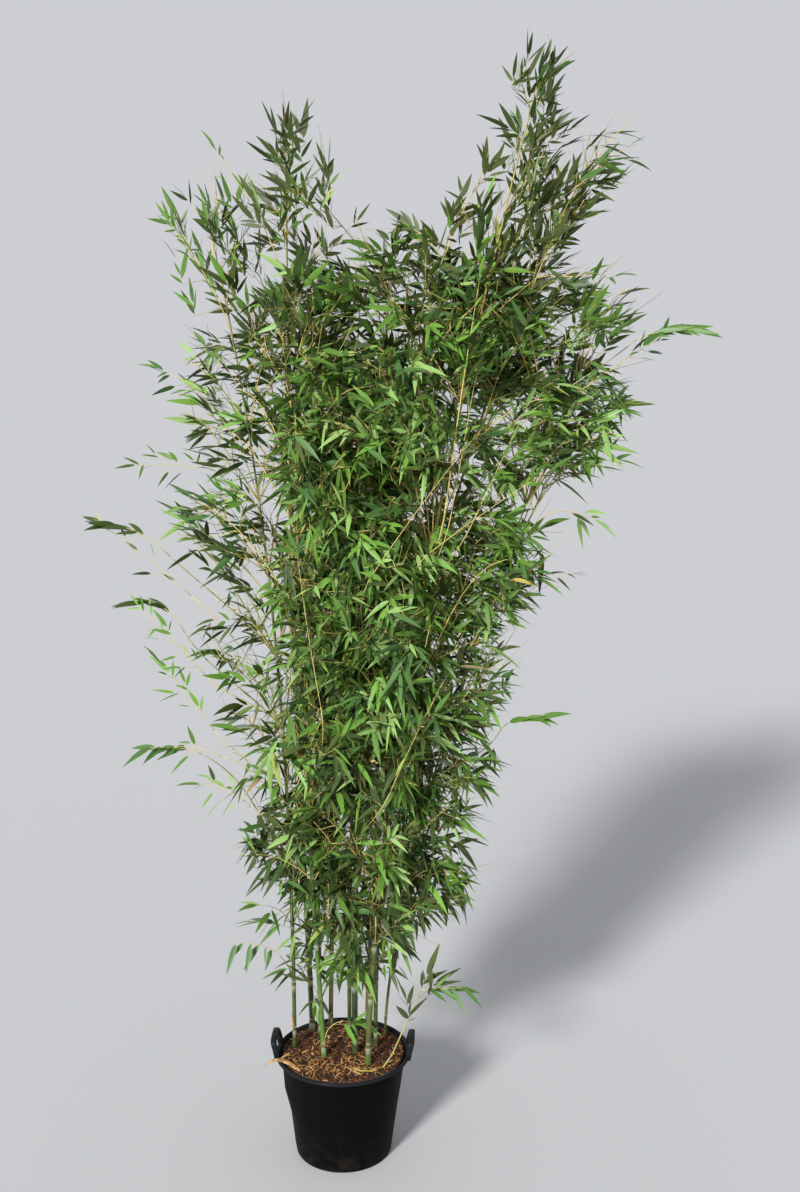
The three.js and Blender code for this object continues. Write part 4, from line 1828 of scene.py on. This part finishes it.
        # The mass's share of the darkest tones is painted shade.
        leaf_tone = self._leaf_tone(rng, envelope.old)
        for tip in tips:
            self._twig(envelope, line, culm, tip, leaf_tone, rng)

    def _twig(
        self,
        envelope: Envelope,
        line: np.ndarray,
        culm: Culm,
        tip: np.ndarray,
        leaf_tone: int,
        rng: np.random.Generator,
    ) -> None:
        """Grows one twig from a branch and puts a spray on its end.

        Args:
            envelope: The mass it grows in.
            line: The branch's points.
            culm: The cane that the branch grows from.
            tip: Where the spray stands.
            leaf_tone: The branch's usual leaf tone.
            rng: The random source.
        """
        part, habit = envelope.part, envelope.pose.value
        headings = unit(np.gradient(line, axis=0))
        ahead = self._spray_heading(habit, tip, culm, unit(tip - line[4]), rng)
        tip = self._kept_in(tip - ahead * self.spray_setback)
        gaps = tip - line
        along = np.sum(unit(gaps) * headings, axis=1)
        cost = np.linalg.norm(gaps, axis=1) * (1.6 - 0.8 * along)
        cost[:3] += 0.5
        start = int(np.argmin(cost))
        root = line[start]
        reach = np.linalg.norm(tip - root)
        straight = unit(tip - root)
        leave = 0.35 * reach * max(0.0, float(headings[start] @ straight))
        arrive = 0.35 * reach * max(0.0, float(ahead @ straight))
        bends = [
            root + headings[start] * leave + rng.normal(0, 0.003, 3),
            tip - ahead * arrive,
            tip,
        ]
        shoot = curved(root, bends, 5)
        tone = int(self.twig_tones.deal(rng, 1)[0])
        self.twigs[part].add(shoot, 1.35 * MM, 0.75 * MM, tone)
        if rng.uniform() < self.fresh_tone_chance:
            # The mass's share of the darkest tones is painted shade.
            leaf_tone = self._leaf_tone(rng, envelope.old)
        self._spray(part, habit, tip, ahead, leaf_tone, tone, rng)

    def _bare_twigs(
        self, part: Part, line: np.ndarray, tone: int, rng: np.random.Generator
    ) -> None:
        """Adds the thin leafless side twigs of a branch.

        Args:
            part: The part of the crown that it belongs to.
            line: The branch's points.
            tone: Its material number.
            rng: The random source.
        """
        headings = unit(np.gradient(line, axis=0))
        for index in (3, 4, 5, 6, 7, 8):
            if rng.uniform() < self.bare_chance:
                ahead = unit(headings[index] + UP * 0.35 + rng.normal(0, 0.45, 3))
                reach = rng.uniform(0.04, 0.15)
                end = self._kept_in(line[index] + ahead * reach + rng.normal(0, 0.006, 3))
                shoot = curved(line[index], [line[index] + ahead * reach * 0.5, end], 5)
                self.twigs[part].add(shoot, 1.1 * MM, 0.55 * MM, tone)

    def _spray_heading(
        self,
        habit: Habit,
        tip: np.ndarray,
        culm: Culm,
        twig: np.ndarray,
        rng: np.random.Generator,
    ) -> np.ndarray:
        """The way a spray points.

        Args:
            habit: How sprays are held here.
            tip: Where it stands.
            culm: The cane that it belongs to.
            twig: The way its twig runs.
            rng: The random source.

        Returns:
            A unit heading.
        """
        local = (tip - culm.middle(float(tip[2]))) * FLAT
        wide = (tip - self.axis(float(tip[2]))) * FLAT
        out = unit(unit(local) * 0.7 + wide / 0.3 + 1e-6)
        heading = out * habit.out + UP * habit.lift + twig * 0.45
        return unit(heading + rng.normal(0, habit.spread, 3))

    def _spray(
        self,
        part: Part,
        habit: Habit,
        tip: np.ndarray,
        ahead: np.ndarray,
        tone: int,
        twig_tone: int,
        rng: np.random.Generator,
        count: int | None = None,
        scale: float = 1.0,
    ) -> None:
        """Adds a fan of leaves on a short rachis.

        Args:
            part: The part of the crown that it belongs to.
            habit: How sprays are held here.
            tip: Where the rachis starts.
            ahead: The way it points.
            tone: The leaves' material number.
            twig_tone: The rachis's material number.
            rng: The random source.
            count: How many leaves, or None to draw it.
            scale: Size of the leaves against the usual.
        """
        leaves = count or int(rng.choice([1, 2, 3, 4, 5], p=[0.08, 0.27, 0.34, 0.21, 0.10]))
        reach = 0.012 * (leaves - 1) + 0.006
        facing = unit(UP * 0.75 + rng.normal(0, 0.55, 3))
        side = unit(np.cross(ahead, facing))
        facing = np.cross(side, ahead)
        end = tip + ahead * reach
        self._stalk(part, tip, end, 0.55 * MM, 0.4 * MM, twig_tone)
        hand = 1 if rng.uniform() < 0.5 else -1
        for k in range(leaves):
            share = k / max(1, leaves - 1)
            if k == leaves - 1:
                swing = rng.normal(0.06, 0.10)
            else:
                swing = math.radians(rng.normal(40 - 16 * share, 10))
            heading = ahead * math.cos(swing) + side * hand * math.sin(swing)
            heading = unit(heading + rng.normal(0, 0.09, 3))
            face = unit(facing + rng.normal(0, 0.38, 3))
            length = float(np.clip(rng.normal(self.leaf_length, self.leaf_spread), 0.045, 0.13))
            length *= scale * (0.82 if k == 0 else 1.0)
            own = tone
            if rng.uniform() >= self.like_chance:
                own = int(self.leaf_tones.deal(rng, 1)[0])
            root = tip + ahead * reach * (0.15 + 0.85 * share)
            sag = float(abs(rng.normal(habit.sag, 0.07)))
            if self._inside(root + heading * length):
                self.leaves[part].add(root, heading, face, length, sag, own)
            hand = -hand

    def _stalk(
        self,
        part: Part,
        root: np.ndarray,
        tip: np.ndarray,
        thick: float,
        thin: float,
        tone: int,
    ) -> None:
        """Adds a short straight twig.

        Args:
            part: The part of the crown that it belongs to.
            root: Where it starts.
            tip: Where it ends.
            thick: Its radius at the root.
            thin: Its radius at the tip.
            tone: Its material number.
        """
        self.twigs[part].add(curved(root, [(root + tip) / 2, tip], 5), thick, thin, tone)

    def _kept_in(self, point: np.ndarray) -> np.ndarray:
        """The nearest place to a point within the space that the plant may fill."""
        return np.clip(point, self.limits[0] + self.margin, self.limits[1] - self.margin)

    def _inside(self, point: np.ndarray) -> bool:
        """Whether a point keeps within the space that the plant may fill."""
        return bool(np.all(point > self.limits[0]) and np.all(point < self.limits[1]))

    def _crown_tip(self, culm: Culm, rng: np.random.Generator) -> None:
        """Ends a cane in upright sprays.

        Args:
            culm: The cane.
            rng: Its random source.
        """
        habit = Pose.ASCENDING.value
        top = culm.middle(culm.top)
        part = nearest_part(top)
        heading = unit(top - culm.middle(culm.top - 0.15))
        # Tips stand at the top of the crown, so most of their leaves take the darkest tones:
        # painted shade.
        tone = self._leaf_tone(rng, 0.8)
        self._spray(part, habit, top, heading, tone, GREEN_TWIG, rng, count=5, scale=0.95)
        for drop in (0.03, 0.06, 0.10, 0.15):
            root = culm.middle(culm.top - drop)
            turn = rng.uniform(0, 2 * math.pi)
            out = np.array([math.cos(turn), 0.6 * math.sin(turn), 0])
            ahead = unit(heading + out * 0.6)
            tip = root + ahead * rng.uniform(0.03, 0.07)
            self._stalk(part, root, tip, 0.8 * MM, 0.5 * MM, GREEN_TWIG)
            self._spray(part, habit, tip, ahead, tone, GREEN_TWIG, rng, count=4)

    def _arm(self, arm: Arm, rng: np.random.Generator) -> None:
        """Grows one long side branch with small sprays along its outer part.

        Args:
            arm: The branch's description.
            rng: Its random source.
        """
        knee, end = np.array(arm.knee), np.array(arm.end)
        root = self.by_node[arm.culm].joint_below(knee, 0.12, 0.8)
        length = np.linalg.norm(end - knee)
        rise = root + (knee - root) * [0.25, 0.25, 0.5]
        inner = curved(root, [rise, knee - unit(end - knee) * 0.4 * length, knee], 9)
        droop = UP * arm.droop * length
        arch = (knee + end) / 2 + UP * 0.01 + rng.normal(0, 0.004, 3)
        outer = curved(knee, [arch, end - droop * 0.3], 9)
        stout = arm.stout * MM
        self.branches[arm.part].add(inner, 1.7 * stout, 1.3 * stout, STRAW_TWIG)
        self.branches[arm.part].add(outer, 1.3 * stout, 0.6 * stout, STRAW_TWIG)
        habit = (Pose.LEVEL if arm.droop else Pose.SPREADING).value
        tone = int(rng.integers(GREEN_TONES))
        hand = 1.0
        for k in range(arm.sprays):
            share = arm.bare + (1 - arm.bare) * k / (arm.sprays - 1)
            spot, ahead = place_on(outer, share)
            side = unit(np.cross(ahead, UP)) * hand
            if k == arm.sprays - 1:
                heading = unit(ahead + rng.normal(0, 0.08, 3))
                stalk = 0.012
            else:
                heading = unit(
                    ahead * 0.8 + side * 0.35 + UP * hand * 0.45 - UP * arm.droop
                    + rng.normal(0, 0.2, 3)
                )
                stalk = float(rng.uniform(0.012, 0.05)) * (1.2 - 0.6 * share)
            tip = spot + heading * stalk
            self._stalk(arm.part, spot, tip, 0.7 * MM, 0.45 * MM, STRAW_TWIG)
            count = 3 if k == arm.sprays - 1 else int(rng.choice([1, 2, 3], p=[0.55, 0.35, 0.1]))
            own = YELLOWING if arm.yellowed and k == arm.sprays // 3 else tone
            self._spray(arm.part, habit, tip, heading, own, STRAW_TWIG, rng, count, 0.84)
            hand = -hand

    def _low_twigs(self, culm: Culm, rng: np.random.Generator) -> None:
        """Grows short leafy twigs from the lower joints of a cane, among the bare canes.

        Args:
            culm: The cane.
            rng: Its random source.
        """
        habit = Pose.DROOPING.value
        for joint in culm.joints[(culm.joints > 0.45) & (culm.joints < 0.95)]:
            for _ in range(int(rng.choice([0, 1, 2, 3], p=[0.18, 0.33, 0.28, 0.21]))):
                root = culm.middle(float(joint))
                part = nearest_part(root)
                turn = rng.uniform(0, 2 * math.pi)
                out = np.array([math.cos(turn), math.sin(turn), 0])
                reach = rng.uniform(0.05, 0.17)
                rise = rng.uniform(0.03, 0.16)
                end = root + out * reach + UP * rise
                line = curved(root, [root + out * 0.3 * reach + UP * 0.7 * rise, end], 9)
                tone = int(self.twig_tones.deal(rng, 1)[0])
                self.branches[part].add(line, 1.2 * MM, 0.6 * MM, tone)
                leaf_tone = int(rng.integers(GREEN_TONES))
                for step in (4, 6, 8):
                    ahead = unit(unit(line[step] - line[step - 1]) + rng.normal(0, 0.45, 3))
                    ahead = unit(ahead - UP * rng.uniform(0.0, 0.8))
                    tip = line[step] + ahead * 0.012
                    self._stalk(part, line[step], tip, 0.6 * MM, 0.4 * MM, tone)
                    count = int(rng.choice([1, 2, 3], p=[0.3, 0.45, 0.25]))
                    self._spray(part, habit, tip, ahead, leaf_tone, tone, rng, count)

    def _outlier(self, outlier: Outlier, rng: np.random.Generator) -> None:
        """Grows one bough with leaves along its outer half.

        Args:
            outlier: The bough's description.
            rng: Its random source.
        """
        low, high = (np.array(corner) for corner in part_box(outlier.spray))
        middle = (low + high) / 2
        culm = self.by_node[outlier.culm]
        near = node_middle(outlier.bough) if outlier.has_bough else culm.middle(culm.top)
        out = unit((middle - near) * FLAT)
        hang = max(0.0, -outlier.lift - 0.5)
        end = middle + out * 0.32 * abs((high - low) @ np.abs(out)) + UP * 0.2 * (high - middle)[2]
        end += UP * 1.4 * hang * (high - middle)[2]
        start = middle - out * 0.42 * abs((high - low) @ np.abs(out))
        line = curved(near, [start + UP * 0.008, middle + UP * (0.012 + 0.08 * hang), end], 9)
        self.branches[outlier.part].add(line, 1.5 * MM, 0.7 * MM, STRAW_TWIG)
        if outlier.has_bough:
            self._bough_root(outlier, culm, near, line)
        leaf_tone = int(rng.choice([0, 2, 3]))
        hand = 1.0
        for k in range(outlier.leaves):
            share = 0.32 + 0.68 * k / (outlier.leaves - 1)
            root, ahead = place_on(line, share)
            side = unit(np.cross(ahead, UP))
            forth = 0.75 - 0.45 * max(0.0, -outlier.lift)
            heading = unit(
                ahead * forth + side * hand * 0.4 + UP * outlier.lift + rng.normal(0, 0.16, 3)
            )
            face = unit(UP * 0.4 - np.array([0, 0.9, 0]) + rng.normal(0, 0.25, 3))
            length = float(np.clip(rng.normal(0.092, 0.014), 0.06, 0.115))
            sag = float(abs(rng.normal(outlier.sag, 0.05)))
            self.leaves[outlier.part].add(root, heading, face, length, sag, leaf_tone)
            hand = -hand

    @staticmethod
    def _bough_root(outlier: Outlier, culm: Culm, near: np.ndarray, line: np.ndarray) -> None:
        """Makes the bough from its cane to where its spray begins, with its joints.

        Args:
            outlier: The bough's description.
            culm: The cane it grows from.
            near: The middle of the stretch that shows.
            line: The spray's own line.
        """
        root = culm.joint_below(near, 0.10, 0.75)
        bend = near - unit(line[1] - line[0]) * 0.35 * np.linalg.norm(near - root)
        route = curved(root, [root * 0.7 + near * 0.3 + UP * 0.03, bend, near], 25)
        ahead = unit(np.gradient(route, axis=0))
        rings = []
        for step, (spot, heading) in enumerate(zip(route, ahead)):
            across = unit(np.cross(heading, [0.2, 0.1, 0.97]))
            above = np.cross(heading, across)
            radius = (2.9 - 1.4 * step / 24) * MM * (1.22 if step % 6 == 3 else 1.0)
            rings.append(Ring(spot, across * radius, above * radius))
        gaps = [((step + 3) % 6 - 3) * 8 * MM for step in range(len(rings))]
        skin = BOUGH_SKIN.build()
        name = outlier.bough + "_limb"
        add_jointed(name, sweep(rings, 10), skin, gaps, "twig", outlier.bough)

    def _make_pieces(self, part: Part) -> None:
        """Makes one piece of leaves and one of twigs for a part of the crown.

        Args:
            part: The part.
        """
        nodes = [item.node for item in ENVELOPES if item.part is part]
        nodes += [item.spray for item in OUTLIERS if item.part is part]
        blades = Blade().arrays(np.array(self.leaves[part].rows))
        materials = self.leaf_tones.materials
        add_swarm("leaves_" + part.value, [blades], materials, "foliage", *nodes)
        parts = [self.branches[part].arrays(5), self.twigs[part].arrays(3)]
        add_swarm("twigs_" + part.value, parts, self.twig_tones.materials, "twig")


def nearest_part(point: np.ndarray) -> Part:
    """The part of the crown whose masses lie nearest to a point."""
    gaps = [np.linalg.norm(point - node_middle(item.node)) for item in ENVELOPES]
    return ENVELOPES[int(np.argmin(gaps))].part


# Canes differ with age: fresh green, grey-green, olive and browned. The skins named shaded are
# darker copies of the green and olive skins, and the canes' colours are set darker than their
# own: painted shade from the crown above them.
CANE_SKINS = {
    "culm_left_outer": CaneFinish("cane_olive", "#465227", "#2a3118"),
    "culm_left_peak": CaneFinish("cane_green", "#3f4e24", "#273117"),
    "culm_left_back": CaneFinish("cane_shaded", "#394523", "#222a15"),
    "culm_front_bright": CaneFinish("cane_bright", "#52702d", "#344a20"),
    "culm_middle_back": CaneFinish("cane_browned", "#57522d", "#37321b"),
    "culm_middle": CaneFinish("cane_shaded_olive", "#454d27", "#2a3018"),
    "culm_middle_dark": CaneFinish("cane_dark", "#374223", "#212816"),
    "culm_right_peak": CaneFinish("cane_ripe", "#4f5a25", "#333b19", ripens=0.9),
    "culm_right_inner": CaneFinish("cane_mid_green", "#434f25", "#2a3217"),
    "culm_right_back": CaneFinish("cane_old", "#5d5631", "#3c351e"),
    "culm_right_thin": CaneFinish("cane_thin", "#6c6f37", "#484a25"),
    "leaning_shoot": CaneFinish("cane_straw", "#a8a052", "#77733a"),
}
BOUGH_SKIN = CaneFinish("bough_straw_green", "#8a8a45", "#5f6431")


# ------------------------------------------------------------------ studio


@dataclass(frozen=True)
class Studio:
    """Plain pale floor, soft light and the camera."""

    camera_place: tuple[float, float, float] = (0.19, -4.2, 2.64)
    camera_pitch: float = 10.0
    lens_mm: float = 40.77
    floor_colour: str = "#b0b1b2"
    sky_colour: str = "#e2e4e8"
    sky_strength: float = 0.80
    sun_heading: tuple[float, float, float] = (0.50, 1.0, -0.62)
    sun_strength: float = 4.8
    sun_spread: float = 9.0

    def build(self) -> None:
        """Makes the floor, the lights and the camera."""
        scene = bpy.context.scene
        scene.view_settings.view_transform = "Standard"
        world = bpy.data.worlds.new("pale_surround")
        world.use_nodes = True
        surround = world.node_tree.nodes["Background"]
        surround.inputs["Color"].default_value = linear(self.sky_colour)
        surround.inputs["Strength"].default_value = self.sky_strength
        scene.world = world
        self._floor()
        self._sun()
        camera = bpy.data.cameras.new("camera")
        camera.sensor_width = 36.0
        camera.lens = self.lens_mm
        camera.clip_end = 200.0
        viewer = bpy.data.objects.new("camera", camera)
        viewer.location = self.camera_place
        viewer.rotation_euler = (math.radians(90 - self.camera_pitch), 0, 0)
        scene.collection.objects.link(viewer)
        scene.camera = viewer

    def _floor(self) -> None:
        """Makes the floor."""
        material = Recipe("pale_floor").finish(self.floor_colour, 0.85)
        bm = bmesh.new()
        bmesh.ops.create_grid(bm, x_segments=1, y_segments=1, size=60.0)
        floor = bpy.data.objects.new("floor", mesh_from_bmesh("floor", bm, material))
        bpy.context.scene.collection.objects.link(floor)
        floor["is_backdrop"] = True

    def _sun(self) -> None:
        """Adds one broad parallel light."""
        lamp = bpy.data.lights.new("key", "SUN")
        lamp.energy = self.sun_strength
        lamp.angle = math.radians(self.sun_spread)
        holder = bpy.data.objects.new("key", lamp)
        heading = Vector(self.sun_heading)
        holder.location = heading * -5
        holder.rotation_euler = heading.to_track_quat("-Z", "Y").to_euler()
        bpy.context.scene.collection.objects.link(holder)


# ------------------------------------------------------------------ assembly


def main() -> None:
    """Builds every piece in order."""
    logging.basicConfig(level=logging.INFO, format="%(name)s: %(message)s")
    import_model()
    solid_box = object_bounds()
    Studio().build()
    Container().build(ContainerPlastic().build())
    mix = PottingMix()
    mix.build(PottingBark().build())
    culms = [Culm(node, number) for number, node in enumerate(CANE_SKINS)]
    for culm in culms:
        culm.build(CANE_SKINS[culm.node].build())
    SheathRemains(culms, mix).build(DrySheath().build())
    low, high = np.array(solid_box[0]), np.array(solid_box[1])
    slack = 0.025 * (high - low)
    Crown(culms, (low - slack, high + slack)).build()
    LOG.info("done")


if __name__ == "__main__":
    main()
